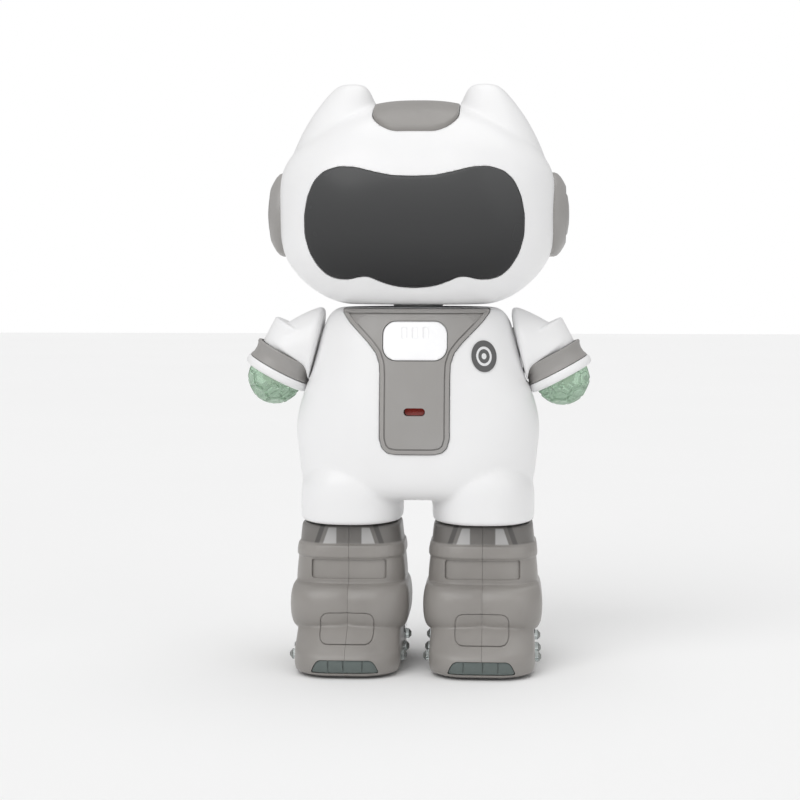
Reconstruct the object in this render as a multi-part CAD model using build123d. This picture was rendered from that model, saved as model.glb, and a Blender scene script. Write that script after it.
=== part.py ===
from build123d import *
import os
from functools import lru_cache
from math import copysign, cos, pi, radians, sin, tan

# Toy robot with cat ears, standing on its two boots. Millimetres, +Z up, the face looks along -Y.
# The origin is on the floor, at the centre of the toy's box, and "left" is the robot's own left, at +X.

# ---- Head ----
HEAD_WIDTH = 89.4
HEAD_DEPTH = 68.0
HEAD_HEIGHT = 65.0         # chin to crown, without the ears
HEAD_WALL = 2.2
HEAD_CORNER = 31.5         # upright corners of the head
CHIN_ROUND = 21.0
CROWN_ROUND = 29.0
EAR_RISE = 6.3             # ear tip above the crown
EAR_ROOT_DEPTH = 24.5      # how far the ear's root reaches down into the head, below the crown
EAR_WIDTH = 36.0           # at the root
EAR_TIP_RADIUS = 4.6
EAR_SPREAD = 26.0          # centre of the ear's root from the middle of the head
EAR_LEAN = 4.8             # how far the tip leans in from the root

# ---- Visor and what is behind it ----
VISOR_WIDTH = 68.8
VISOR_HEIGHT = 37.0
VISOR_ABOVE_CHIN = 26.0    # widest level of the visor above the chin
VISOR_CORNER = 6.0
VISOR_THICKNESS = 1.2
VISOR_LEDGE = 2.5          # width of the ledge that the visor is glued to
LIGHT_BOX_WALL = 1.2
FACE_BOARD_SIZE = (52.0, 25.0)
FACE_BOARD_SETBACK = 12.0  # front of the head to the face board
BOARD_THICKNESS = 1.6

# ---- Side covers, button and speaker ----
COVER_RADIUS = 13.6
COVER_DOME = 4.1
COVER_ABOVE_CHIN = 29.2
COVER_SPIGOT_RADIUS = 5.0
BUTTON_WIDTH = 27.2
BUTTON_LENGTH = 32.0
BUTTON_FORWARD = 8.5       # centre of the button ahead of the head's middle
BUTTON_CORNER = 9.0
BUTTON_PROUD = 0.8
BUTTON_TRAVEL = 1.5
SWITCH_BELOW_CROWN = 11.5     # top of the switch under the button
SWITCH_RISE = 4.5             # height of that switch above its bridge
BUTTON_GAP = 0.4
BUTTON_FLANGE = 1.4
BUTTON_STEM_RADIUS = 3.0
SPEAKER_RADIUS = 12.0
SPEAKER_DEPTH = 6.0
SPEAKER_ABOVE_CHIN = 30.0
SPEAKER_SETBACK = 2.6         # speaker behind the rear wall
SPEAKER_SLOTS = 5
SLOT_SIZE = (16.0, 1.6)
SLOT_PITCH = 3.6

# ---- Neck ----
NECK_GAP = 0.5
NECK_RADIUS = 8.0
NECK_GROOVE_RADIUS = 6.5
NECK_FLANGE_RADIUS = 11.0
NECK_FLANGE = 2.4

# ---- Torso ----
TORSO_WIDTH = 79.4         # at the belly
TORSO_DEPTH = 49.4
TORSO_HEIGHT = 69.9        # hem to roof
TORSO_WALL = 2.0
TORSO_CORNER = 19.0        # upright corners of the belly
BELLY_RISE = 29.0          # widest level above the hem
HEM_TAPER = 3.0
CROTCH_RISE = 8.5          # crotch above the hem
LEG_SPACING = 43.0         # between the centres of the two legs
LEG_WIDTH = 33.4

# ---- Chest ----
PANEL_TOP_WIDTH = 47.2
PANEL_WIDTH = 22.0
PANEL_LENGTH = 45.4
PANEL_SHOULDER = 12.6      # height of the panel's tapered part
PANEL_BELOW_ROOF = 1.3
PANEL_CORNER = 5.0
PANEL_PROUD = 0.8
PANEL_SEAT = 1.2           # depth of the panel's seat in the torso
WINDOW_SIZE = (20.4, 12.5)
WINDOW_CORNER = 4.0
WINDOW_BELOW_ROOF = 10.0
SENSOR_SLOT = (6.4, 2.3)
SENSOR_BELOW_ROOF = 32.9
SENSOR_LIP = 1.6
BADGE_SIZE = (7.9, 10.1)
BADGE_TILT = 10.0
BADGE_OUT = 21.8
BADGE_BELOW_ROOF = 15.5
BADGE_THICKNESS = 1.0
MAIN_BOARD_SIZE = (32.0, 40.0)
MAIN_BOARD_SETBACK = 12.5  # belly front to the main board
MAIN_BOARD_BELOW_ROOF = 8.5

# ---- Battery compartment and power switch ----
CELL_LENGTH = 44.5
CELL_RADIUS = 5.2
CELL_COUNT = 3
CELL_PITCH = 11.0
CASE_WALL = 1.2
CASE_GAP = 0.4
CASE_BELOW_ROOF = 16.8
CONTACT_THICKNESS = 0.8
DOOR_LAND = 2.4            # how far the door reaches past the case opening
DOOR_GAP = 0.3
DOOR_THICKNESS = 1.8
DOOR_CORNER = 4.0
DOOR_SCREW_DROP = 4.4         # the door reaches this far above its case for the screw
SWITCH_SLOT = (10.0, 3.6)
SWITCH_KNOB = (4.0, 3.0)
SWITCH_THROW = 3.6
SWITCH_SETBACK = 1.2          # switch body behind the rear wall
SWITCH_ABOVE_HEM = 13.2
SWITCH_BODY = (15.0, 5.0, 6.4)

# ---- Arms ----
SHOULDER_TILT = 15.0       # the shoulder axis rises outwards by this angle
SHOULDER_BELOW_ROOF = 10.8
SEAT_RADIUS = 11.0
SEAT_DEPTH = 4.4           # thickness of the round boss that backs the arm's seat
ARM_GAP = 0.4
AXLE_RADIUS = 4.0
AXLE_FLANGE_RADIUS = 7.0
AXLE_FLANGE = 1.6
SLEEVE_RADIUS = 10.3
SLEEVE_WAIST = 8.9
CUFF_TILT = 28.0           # the cuff's axis leans outwards from straight down by this angle
CUFF_RADIUS = 9.4
BAND_HEIGHT = 5.6
BAND_RADIUS = 10.9
BAND_HOLLOW = 0.7
RIM_RADIUS = 11.1
RIM_HEIGHT = 3.1
HAND_RADIUS = 9.0
HAND_WALL = 1.4

# ---- Boots ----
BOOT_HEIGHT = 46.8         # floor to hem
BOOT_WIDTH = 38.6          # across the bulge
BOOT_WALL = 1.8
SHAFT_WIDTH = 36.8         # at its foot
SHAFT_DEPTH = 35.6
SHAFT_CORNER = 15.5
SHAFT_TAPER = 5.0
BOOT_BAND_WIDTH = 34.8
BULGE_LEVELS = (12.6, 28.4)
BULGE_DEPTH = 41.0
BULGE_FORWARD = 2.6
BULGE_CORNER = 17.0
BULGE_ROUND = 7.5
SHOE_LENGTH = 59.0
SHOE_WIDTH = 34.2
SHOE_HEIGHT = 19.0
SHOE_CORNER = 12.5
SHOE_FORWARD = 4.5         # middle of the shoe ahead of the leg
TOE_HEIGHT = 8.3
INSTEP_SLOPE = 29.0
GROUND_CLEARANCE = 0.8
COLLAR_HEIGHT = 7.0
COLLAR_GAP = 0.4
BAND_LEVELS = (36.0, 40.3)
TOE_WINDOW_SIZE = (22.0, 17.5, 4.5)   # bottom width, top width, height
TOE_WINDOW_ABOVE_FLOOR = 1.7
SOLE_THICKNESS = 1.8
SOLE_GAP = 0.2
STUD_RADIUS = 1.7
STUD_PLACES = ((-18.0, 5.0), (-5.0, 5.4), (8.0, 7.0))   # forward place, height
LIGHT_BAND_LEVELS = (9.0, 12.4)
LIGHT_BAND_DEPTH = 1.2
GLIDE_RADIUS = 1.6
GLIDE_PLACES = ((7.0, -26.0), (-7.0, -26.0), (0.0, 20.5))

# ---- Foot drive ----
WHEEL_RADIUS = 8.5
WHEEL_WIDTH = 7.0
TYRE_THICKNESS = 2.0
WHEEL_BEHIND = 8.0         # axle behind the leg's centre
WHEEL_SIDE = 4.6           # near face of the wheel from the boot's middle
GEAR_MODULE = 0.8
GEAR_TEETH = 14
PINION_TEETH = 8
GEAR_WIDTH = 2.5
GEAR_BACKLASH = 0.35
GEAR_GAP = 0.12
GEAR_SIDE = 1.2            # near face of the gears from the boot's middle
DRIVE_AXLE_RADIUS = 1.5
MOTOR_SIZE = (10.5, 10.0, 10.0)
MOTOR_SHAFT_RADIUS = 0.75
TAB_THICKNESS = 1.5

# ---- Screws and fits ----
SCREW_RADIUS = 1.1
SCREW_HEAD_RADIUS = 2.1
SCREW_HEAD = 1.6
BOSS_RADIUS = 3.0
PILOT_GAP = 0.1
RUNNING_GAP = 0.1
GLUE_GAP = 0.05
TRIM_GAP = 0.15

# ---- Levels and centres worked out from the sizes above ----
ON_BASE = (Align.CENTER, Align.CENTER, Align.MIN)
TORSO_TOP = BOOT_HEIGHT + TORSO_HEIGHT
HEAD_BASE = TORSO_TOP + NECK_GAP
HEAD_TOP = HEAD_BASE + HEAD_HEIGHT
EAR_TIP = HEAD_TOP + EAR_RISE
CROTCH = BOOT_HEIGHT + CROTCH_RISE
LEG_X = LEG_SPACING / 2
BELLY = BOOT_HEIGHT + BELLY_RISE
VISOR_Z = HEAD_BASE + VISOR_ABOVE_CHIN
COVER_Z = HEAD_BASE + COVER_ABOVE_CHIN
SPEAKER_Z = HEAD_BASE + SPEAKER_ABOVE_CHIN
FACE_BOARD_Y = -HEAD_DEPTH / 2 + FACE_BOARD_SETBACK
MAIN_BOARD_Y = -TORSO_DEPTH / 2 + MAIN_BOARD_SETBACK
CASE_TOP = TORSO_TOP - CASE_BELOW_ROOF
CASE_HEIGHT = (CELL_COUNT - 1) * CELL_PITCH + 2 * (CELL_RADIUS + CASE_GAP)
CASE_LENGTH = CELL_LENGTH + 2 * (CONTACT_THICKNESS + CASE_GAP)
CASE_BOTTOM = CASE_TOP - CASE_HEIGHT
CASE_FRONT = 1.0
CELL_Y = CASE_FRONT + CASE_WALL + CASE_GAP + CELL_RADIUS
CASE_REAR = CELL_Y + CELL_RADIUS + CASE_GAP
SWITCH_Z = BOOT_HEIGHT + SWITCH_ABOVE_HEM
WHEEL_X = LEG_X + WHEEL_SIDE + WHEEL_WIDTH / 2
PINION_Z = WHEEL_RADIUS + GEAR_MODULE * (GEAR_TEETH + PINION_TEETH) / 2 + GEAR_GAP
SCREW_REAR = 6.0
SPEAKER_FACE = HEAD_DEPTH / 2 - HEAD_WALL - SPEAKER_SETBACK
SWITCH_TOP = HEAD_TOP - SWITCH_BELOW_CROWN
BRIDGE_TOP = SWITCH_TOP - SWITCH_RISE
SHOULDER_RUN = TORSO_HEIGHT - BELLY_RISE - SHOULDER_BELOW_ROOF
SHOULDER_X = TORSO_WIDTH / 2 - SHOULDER_RUN * tan(radians(SHOULDER_TILT))
DOOR_SCREW_Z = CASE_TOP + DOOR_SCREW_DROP - 1
SWITCH_FACE = TORSO_DEPTH / 2 * .9 - TORSO_WALL - SWITCH_SETBACK


# ---- Small helpers ----
def block(low, high):
    # A box from its lowest corner to its highest corner.
    size = [b - a for a, b in zip(low, high)]
    middle = [(a + b) / 2 for a, b in zip(low, high)]
    return Pos(*middle) * Box(*size)


def rod(start, end, radius):
    # A round bar between two points.
    path = Vector(*end) - Vector(*start)
    place = Plane(origin=start, z_dir=path)
    return place * Cylinder(radius, path.length, align=(Align.CENTER, Align.CENTER, Align.MIN))


def section(place, half_x, half_y, power):
    # A closed, smooth, slightly squared oval.
    points = []
    for step in range(16):
        turn = 2 * pi * (step + .5) / 16
        x = copysign(abs(cos(turn)) ** (2 / power), cos(turn))
        y = copysign(abs(sin(turn)) ** (2 / power), sin(turn))
        points.append((half_x * x, half_y * y))
    return place * make_face(Spline(*points, periodic=True))


def rounded_block(width, depth, low, high, upright, rims, inset, middle=(0, 0)):
    # A block with rounded upright edges and rounded lower and upper rims, drawn in by the inset.
    outline = RectangleRounded(width - 2 * inset, depth - 2 * inset, upright - inset)
    body = Pos(*middle, low + inset) * extrude(outline, high - low - 2 * inset)
    for radius, group in zip(rims, (0, -1)):
        body = fillet(body.edges().group_by(Axis.Z)[group], radius - inset)
    return body


def tapered_block(width, depth, low, high, upright, taper, middle=(0, 0)):
    # A block with rounded upright edges whose sides lean in by the taper, in degrees.
    outline = RectangleRounded(width, depth, upright)
    return Pos(*middle, low) * extrude(outline, high - low, taper=taper)


def joined(body, pieces):
    for piece in pieces:
        body = body + piece
    return body


def both(shape):
    return shape + mirror(shape, about=Plane.YZ)


def front_prism(face, grow=0.0):
    # Pushes an outline drawn in X and Z forward through the toy.
    outline = offset(face, grow) if grow else face
    return extrude(Plane.XZ * outline, 200)


def rear_prism(face, grow=0.0):
    outline = offset(face, grow) if grow else face
    return extrude(Plane.XZ * outline, -200)


def save(name, *shapes):
    solids = [solid for shape in shapes for solid in shape.solids()]
    export_step(solids[0] if len(solids) == 1 else Compound(solids), f"parts/{name}.step")


# ---- Head forms ----
@lru_cache
def skull(inset):
    rims = (CHIN_ROUND, CROWN_ROUND)
    return rounded_block(HEAD_WIDTH, HEAD_DEPTH, HEAD_BASE, HEAD_TOP, HEAD_CORNER, rims, inset)


def ear():
    # A leaning cone with a round tip.
    root = Vector(EAR_SPREAD, 0, HEAD_TOP - EAR_ROOT_DEPTH)
    tip = Vector(EAR_SPREAD - EAR_LEAN, 0, EAR_TIP - EAR_TIP_RADIUS)
    place = Plane(origin=root, z_dir=tip - root)
    cone = Cone(EAR_WIDTH / 2, EAR_TIP_RADIUS, (tip - root).length, align=ON_BASE)
    return place * cone + Pos(*tip) * Sphere(EAR_TIP_RADIUS)


@lru_cache
def head_form():
    return skull(0) + both(ear())


def visor_outline():
    # Two lobes above, joined by a shallow valley, and a dip at the middle of the lower edge.
    a, h = VISOR_WIDTH / 2, VISOR_HEIGHT / 2
    half = ((.67, .98), (1, .50), (1, -.46), (.67, -1.0), (.42, -.86))
    right = [(x * a, VISOR_Z + z * h) for x, z in half]
    left = [(-x, z) for x, z in reversed(right)]
    points = [(0, VISOR_Z + .76 * h)] + right + [(0, VISOR_Z - 1.11 * h)] + left
    face = make_face(Polyline(*points, close=True))
    return fillet(face.vertices(), VISOR_CORNER)


def button_outline():
    return Pos(0, -BUTTON_FORWARD) * RectangleRounded(BUTTON_WIDTH, BUTTON_LENGTH, BUTTON_CORNER)


def head_screw_places():
    return [(side * HEAD_WIDTH * share, HEAD_BASE + up * HEAD_HEIGHT)
            for side in (-1, 1) for share, up in ((.35, .2), (.28, .86))]


def head_shells():
    shell = head_form() - skull(HEAD_WALL)
    bosses = [rod((x, -12, z), (x, 60, z), BOSS_RADIUS) for x, z in head_screw_places()]
    ribs = [block((min(x, x * 1.5), -10, z - .8), (max(x, x * 1.5), 10, z + .8))
            for x, z in head_screw_places()]
    ring = rod((0, SPEAKER_FACE - SPEAKER_DEPTH, SPEAKER_Z), (0, 60, SPEAKER_Z), SPEAKER_RADIUS + 1.6)
    ring -= rod((0, 0, SPEAKER_Z), (0, SPEAKER_FACE, SPEAKER_Z), SPEAKER_RADIUS + RUNNING_GAP)
    shell = joined(shell, [skull(HEAD_WALL / 2) & piece for piece in bosses + ribs + [ring]])
    for x, z in head_screw_places():
        shell -= rod((x, -9, z), (x, 60, z), SCREW_RADIUS + PILOT_GAP)
        shell -= rod((x, SCREW_REAR, z), (x, 60, z), SCREW_HEAD_RADIUS + RUNNING_GAP)
    shell -= rod((0, 0, HEAD_BASE - 1), (0, 0, HEAD_BASE + 9), NECK_GROOVE_RADIUS)
    shell -= extrude(Plane.XY.offset(HEAD_TOP - EAR_ROOT_DEPTH) * offset(button_outline(), BUTTON_GAP), 60)
    shell -= front_prism(visor_outline(), -VISOR_LEDGE)
    shell -= front_prism(visor_outline(), TRIM_GAP) - skull(VISOR_THICKNESS + GLUE_GAP)
    hole = rod((0, 0, COVER_Z), (HEAD_WIDTH, 0, COVER_Z), COVER_SPIGOT_RADIUS + RUNNING_GAP)
    shell -= both(hole)
    for row in range(SPEAKER_SLOTS):
        z = SPEAKER_Z + (row - (SPEAKER_SLOTS - 1) / 2) * SLOT_PITCH
        shell -= rear_prism(Pos(0, z) * SlotOverall(*SLOT_SIZE))
    front = shell & block((-100, -100, 0), (100, 0, 300))
    rear = shell & block((-100, 0, 0), (100, 100, 300))
    return front, rear


def visor():
    return (skull(0) - skull(VISOR_THICKNESS)) & front_prism(visor_outline())


def face_light_box():
    # A frame that stands between the visor's opening and the face board, and holds the board.
    width, height = [side + 2 * TRIM_GAP for side in FACE_BOARD_SIZE]
    wall = 2 * LIGHT_BOX_WALL
    place = Pos(0, VISOR_Z - 1)
    ring = extrude(Plane.XZ * place * RectangleRounded(width + wall, height + wall, 4), 200)
    ring -= extrude(Plane.XZ * place * Rectangle(width, height), 200)
    ring &= block((-100, -100, 0), (100, FACE_BOARD_Y + BOARD_THICKNESS, 300))
    return ring & skull(HEAD_WALL + GLUE_GAP)


def face_board():
    width, height = FACE_BOARD_SIZE
    low = (-width / 2, FACE_BOARD_Y, VISOR_Z - 1 - height / 2)
    return block(low, (width / 2, FACE_BOARD_Y + BOARD_THICKNESS, VISOR_Z - 1 + height / 2))


def face_lights():
    # Two rings of small square lights, one ring for each eye.
    lights = []
    for eye in (-1, 1):
        for step in range(8):
            turn = 2 * pi * step / 8
            x = eye * 13 + 5 * cos(turn)
            z = VISOR_Z + 5 * sin(turn)
            lights.append(block((x - 1, FACE_BOARD_Y - 1, z - 1), (x + 1, FACE_BOARD_Y, z + 1)))
    return lights


def side_cover():
    # A domed disc on the side of the head, with a spigot that plugs into the head's wall.
    reach = HEAD_WIDTH / 2
    edge = reach + .6
    with BuildSketch(Plane.XY) as half:
        with BuildLine():
            Line((reach - 8, 0), (reach + COVER_DOME, 0))
            ThreePointArc((reach + COVER_DOME, 0), (reach + COVER_DOME * .8, COVER_RADIUS * .62),
                          (edge, COVER_RADIUS))
            Line((edge, COVER_RADIUS), (reach - 8, COVER_RADIUS))
            Line((reach - 8, COVER_RADIUS), (reach - 8, 0))
        make_face()
    disc = Pos(0, 0, COVER_Z) * revolve(half.sketch, Axis.X)
    disc -= skull(-GLUE_GAP)
    spigot = rod((reach - HEAD_WALL - 2, 0, COVER_Z), (reach + 1, 0, COVER_Z), COVER_SPIGOT_RADIUS)
    return disc + spigot


def neck_post():
    roof = TORSO_TOP - TORSO_WALL
    floor = HEAD_BASE + HEAD_WALL
    post = rod((0, 0, roof - GLUE_GAP - NECK_FLANGE - .3), (0, 0, HEAD_BASE), NECK_RADIUS)
    post += rod((0, 0, roof - .3 - NECK_FLANGE), (0, 0, roof - .3), NECK_FLANGE_RADIUS)
    post += rod((0, 0, HEAD_BASE), (0, 0, floor), NECK_GROOVE_RADIUS)
    post += rod((0, 0, floor), (0, 0, floor + NECK_FLANGE), NECK_RADIUS + 1)
    return post - rod((0, 0, 0), (0, 0, 300), NECK_GROOVE_RADIUS - 2.5)


def head_screws():
    screws = []
    for x, z in head_screw_places():
        shank = rod((x, -8, z), (x, SCREW_REAR, z), SCREW_RADIUS)
        screws.append(shank + rod((x, SCREW_REAR, z), (x, SCREW_REAR + SCREW_HEAD, z), SCREW_HEAD_RADIUS))
    return screws


# ---- Top button ----
def top_button():
    place = Plane.XY.offset(HEAD_TOP - EAR_ROOT_DEPTH)
    under = HEAD_WALL + BUTTON_GAP
    cap = skull(-BUTTON_PROUD) - skull(under + BUTTON_FLANGE)
    cap &= extrude(place * button_outline(), 60)
    flange = skull(under) - skull(under + BUTTON_FLANGE)
    flange &= extrude(place * offset(button_outline(), BUTTON_FLANGE), 60)
    foot = (0, -BUTTON_FORWARD / 2, SWITCH_TOP + BUTTON_TRAVEL + .2)
    stem = rod(foot, (0, -BUTTON_FORWARD / 2, HEAD_TOP - 2), BUTTON_STEM_RADIUS)
    return cap + flange + (stem & skull(BUTTON_FLANGE))


def switch_bridge():
    deck = block((-100, -BUTTON_FORWARD / 2 - 5, BRIDGE_TOP - 2), (100, -BUTTON_FORWARD / 2 + 5, BRIDGE_TOP))
    return deck & skull(HEAD_WALL + GLUE_GAP)


def button_switch():
    y = -BUTTON_FORWARD / 2
    body = block((-3, y - 3, BRIDGE_TOP), (3, y + 3, SWITCH_TOP - 1))
    return body + rod((0, y, SWITCH_TOP - 1), (0, y, SWITCH_TOP), 1.6)


def speaker():
    back = SPEAKER_FACE - SPEAKER_DEPTH
    body = rod((0, back, SPEAKER_Z), (0, SPEAKER_FACE, SPEAKER_Z), SPEAKER_RADIUS)
    return body + rod((0, back - 3, SPEAKER_Z), (0, back, SPEAKER_Z), SPEAKER_RADIUS * .6)


# ---- Torso forms ----
@lru_cache
def torso_form(inset):
    # The belly narrows a little down to the hem, and more up to the roof, as steeply as the arm's seat.
    rise = BELLY - BOOT_HEIGHT
    lean = rise * tan(radians(HEM_TAPER))
    low = BOOT_HEIGHT - 1 if inset > 0 else BOOT_HEIGHT
    draw = inset + (BOOT_HEIGHT - low) * tan(radians(HEM_TAPER))
    hem = tapered_block(TORSO_WIDTH - 2 * (lean + draw), TORSO_DEPTH - 2 * (lean + draw), low, BELLY,
                        TORSO_CORNER - lean - draw, -HEM_TAPER)
    chest = tapered_block(TORSO_WIDTH - 2 * inset, TORSO_DEPTH - 2 * inset, BELLY, TORSO_TOP - inset,
                          TORSO_CORNER - inset, SHOULDER_TILT)
    gap = LEG_SPACING / 2 - LEG_WIDTH / 2 + inset
    return hem + chest - block((-gap, -100, 0), (gap, 100, CROTCH + inset))


def shoulder_plane(out=0.0):
    # The flat seat of the left arm, moved out along the shoulder axis.
    tilt = radians(SHOULDER_TILT)
    direction = Vector(cos(tilt), 0, sin(tilt))
    origin = Vector(SHOULDER_X, 0, TORSO_TOP - SHOULDER_BELOW_ROOF) + direction * out
    return Plane(origin=origin, x_dir=(0, 1, 0), z_dir=direction)


def shoulder_disc(low, high, radius):
    # A disc about the shoulder axis, between two distances along it from the arm's seat.
    disc = Cylinder(radius, high - low, align=(Align.CENTER, Align.CENTER, Align.MIN))
    return shoulder_plane(low) * disc


def panel_outline():
    top = TORSO_TOP - PANEL_BELOW_ROOF
    corners = [(PANEL_TOP_WIDTH / 2, top), (PANEL_TOP_WIDTH / 2, top - 2.5),
               (PANEL_WIDTH / 2, top - 2.5 - PANEL_SHOULDER), (PANEL_WIDTH / 2, top - PANEL_LENGTH)]
    face = make_face(Polyline(*corners, *[(-x, z) for x, z in reversed(corners)], close=True))
    low = face.vertices().sort_by(Axis.Y)[:2]
    face = fillet(low, PANEL_CORNER)
    waist = face.vertices().filter_by(lambda v: abs(v.Y - (top - 2.5 - PANEL_SHOULDER)) < .01)
    return fillet(waist, PANEL_CORNER)


def window_outline():
    z = TORSO_TOP - WINDOW_BELOW_ROOF - PANEL_BELOW_ROOF
    return Pos(0, z) * RectangleRounded(*WINDOW_SIZE, WINDOW_CORNER)


def sensor_outline():
    return Pos(0, TORSO_TOP - SENSOR_BELOW_ROOF) * SlotOverall(*SENSOR_SLOT)


def badge_outline():
    width, height = BADGE_SIZE
    place = Pos(BADGE_OUT, TORSO_TOP - BADGE_BELOW_ROOF) * Rot(0, 0, BADGE_TILT)
    return place * RectangleRounded(width, height, width * .49)


def door_outline():
    width = CASE_LENGTH + 2 * DOOR_LAND
    height = CASE_HEIGHT + 2 * DOOR_LAND + DOOR_SCREW_DROP
    middle = (CASE_TOP + DOOR_SCREW_DROP + CASE_BOTTOM) / 2
    return Pos(0, middle) * RectangleRounded(width, height, DOOR_CORNER)


def torso_screw_places():
    return [(side * TORSO_WIDTH * share, BOOT_HEIGHT + up * TORSO_HEIGHT)
            for side in (-1, 1) for share, up in ((.39, .2), (.25, .88))]


def board_boss_places():
    z = TORSO_TOP - MAIN_BOARD_BELOW_ROOF
    width, height = MAIN_BOARD_SIZE
    return [(side * (width / 2 - 3), z - drop) for side in (-1, 1) for drop in (3, height - 3)]


def torso_shells():
    shell = torso_form(0) - torso_form(TORSO_WALL)
    inside = torso_form(TORSO_WALL / 2)
    extra = []
    for x, z in torso_screw_places():
        extra.append(inside & rod((x, -60, z), (x, 60, z), BOSS_RADIUS))
    for x, z in board_boss_places():
        extra.append(torso_form(PANEL_SEAT + .3) & rod((x, -60, z), (x, MAIN_BOARD_Y, z), 2.2))
    seat = shoulder_disc(-SEAT_DEPTH, 0, SEAT_RADIUS)
    extra.append(both(seat - torso_form(TORSO_WALL + 1)))
    shell = joined(shell, extra)
    for x, z in torso_screw_places():
        shell -= rod((x, -9, z), (x, 60, z), SCREW_RADIUS + PILOT_GAP)
        shell -= rod((x, SCREW_REAR, z), (x, 60, z), SCREW_HEAD_RADIUS + RUNNING_GAP)
    shell -= both(shoulder_disc(0, 30, SEAT_RADIUS + .6))
    shell -= both(shoulder_disc(-30, 1, AXLE_RADIUS + RUNNING_GAP))
    shell -= rod((0, 0, CROTCH), (0, 0, TORSO_TOP + 1), NECK_RADIUS + RUNNING_GAP)
    shell -= front_prism(panel_outline(), TRIM_GAP) - torso_form(PANEL_SEAT + GLUE_GAP)
    shell -= front_prism(window_outline(), TRIM_GAP)
    shell -= front_prism(sensor_outline(), TRIM_GAP)
    shell -= front_prism(badge_outline(), TRIM_GAP) - torso_form(BADGE_THICKNESS / 2 + GLUE_GAP)
    shell -= rear_prism(door_outline(), DOOR_GAP)
    shell -= rear_prism(Pos(0, SWITCH_Z) * SlotOverall(*SWITCH_SLOT))
    front = shell & block((-100, -100, 0), (100, 0, 300))
    rear = shell & block((-100, 0, 0), (100, 100, 300))
    return front, rear


def chest_panel():
    panel = (torso_form(-PANEL_PROUD) - torso_form(PANEL_SEAT)) & front_prism(panel_outline())
    panel -= front_prism(window_outline(), TRIM_GAP)
    lip = torso_form(-PANEL_PROUD - .5) - torso_form(0)
    lip &= front_prism(sensor_outline(), SENSOR_LIP)
    return panel + lip - front_prism(sensor_outline(), TRIM_GAP)


def chest_window():
    return (torso_form(-PANEL_PROUD - .3) - torso_form(TORSO_WALL)) & front_prism(window_outline())


def chest_sensor():
    lens = (torso_form(.4) - torso_form(TORSO_WALL + 1)) & front_prism(sensor_outline())
    z = TORSO_TOP - SENSOR_BELOW_ROOF
    leads = block((-2, -TORSO_DEPTH / 2 + TORSO_WALL + 2.5, z - .8), (2, MAIN_BOARD_Y, z + .8))
    return lens + leads


def chest_badge():
    return (torso_form(-BADGE_THICKNESS / 2) - torso_form(BADGE_THICKNESS / 2)) & front_prism(badge_outline())


def main_board():
    # The board with its sound chip, its capacitor and the light behind the chest window.
    width, height = MAIN_BOARD_SIZE
    top = TORSO_TOP - MAIN_BOARD_BELOW_ROOF
    back = MAIN_BOARD_Y + BOARD_THICKNESS
    board = block((-width / 2, MAIN_BOARD_Y, top - height), (width / 2, back, top))
    board += block((-6, back, top - 22), (6, back + 1.4, top - 12))
    board += rod((9, back, top - 30), (9, back + 5, top - 30), 2.5)
    lamp_z = TORSO_TOP - WINDOW_BELOW_ROOF - PANEL_BELOW_ROOF
    return board + block((-5, MAIN_BOARD_Y - 1.2, lamp_z - 1.5), (5, MAIN_BOARD_Y, lamp_z + 1.5))


def battery_case():
    half = CASE_LENGTH / 2
    outer = block((-half - CASE_WALL, CASE_FRONT, CASE_BOTTOM - CASE_WALL),
                  (half + CASE_WALL, CASE_REAR, CASE_TOP + CASE_WALL))
    boss = rod((0, CASE_FRONT, DOOR_SCREW_Z), (0, CASE_REAR, DOOR_SCREW_Z), BOSS_RADIUS)
    case = outer + boss - block((-half, CASE_FRONT + CASE_WALL, CASE_BOTTOM), (half, 60, CASE_TOP))
    return case - rod((0, CASE_FRONT + 2, DOOR_SCREW_Z), (0, 60, DOOR_SCREW_Z), SCREW_RADIUS + PILOT_GAP)


def cell_levels():
    first = CASE_BOTTOM + CASE_GAP + CELL_RADIUS
    return [first + step * CELL_PITCH for step in range(CELL_COUNT)]


def battery_cells():
    half = CELL_LENGTH / 2
    cells = []
    for index, z in enumerate(cell_levels()):
        tip = half if index % 2 else -half
        body = rod((-half + 1, CELL_Y, z), (half - 1, CELL_Y, z), CELL_RADIUS)
        body += rod((copysign(half - 1, tip), CELL_Y, z), (tip, CELL_Y, z), CELL_RADIUS * .36)
        cells.append(body)
    return cells


def battery_contacts():
    # Flat spring plates at both ends of each cell.
    half = CASE_LENGTH / 2
    plates = []
    for z in cell_levels():
        for side in (-1, 1):
            ends = sorted((side * half, side * (half - CONTACT_THICKNESS)))
            plates.append(block((ends[0], CELL_Y - 4, z - 4), (ends[1], CELL_Y + 4, z + 4)))
    return plates


def torso_screws():
    screws = []
    for x, z in torso_screw_places():
        shank = rod((x, -8, z), (x, SCREW_REAR, z), SCREW_RADIUS)
        screws.append(shank + rod((x, SCREW_REAR, z), (x, SCREW_REAR + SCREW_HEAD, z), SCREW_HEAD_RADIUS))
    return screws


def battery_door():
    door = (torso_form(0) - torso_form(DOOR_THICKNESS)) & rear_prism(door_outline())
    finger = Pos(0, CASE_BOTTOM + 2) * SlotOverall(12, 3)
    door -= rear_prism(finger) - torso_form(DOOR_THICKNESS / 2)
    beyond = (0, 60, DOOR_SCREW_Z)
    pad = rod((0, CASE_REAR + .3, DOOR_SCREW_Z), beyond, BOSS_RADIUS)
    door += pad & torso_form(DOOR_THICKNESS / 2)
    door -= rod((0, 0, DOOR_SCREW_Z), beyond, SCREW_RADIUS + PILOT_GAP)
    return door - rod((0, CASE_REAR + 2, DOOR_SCREW_Z), beyond, SCREW_HEAD_RADIUS + RUNNING_GAP)


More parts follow.
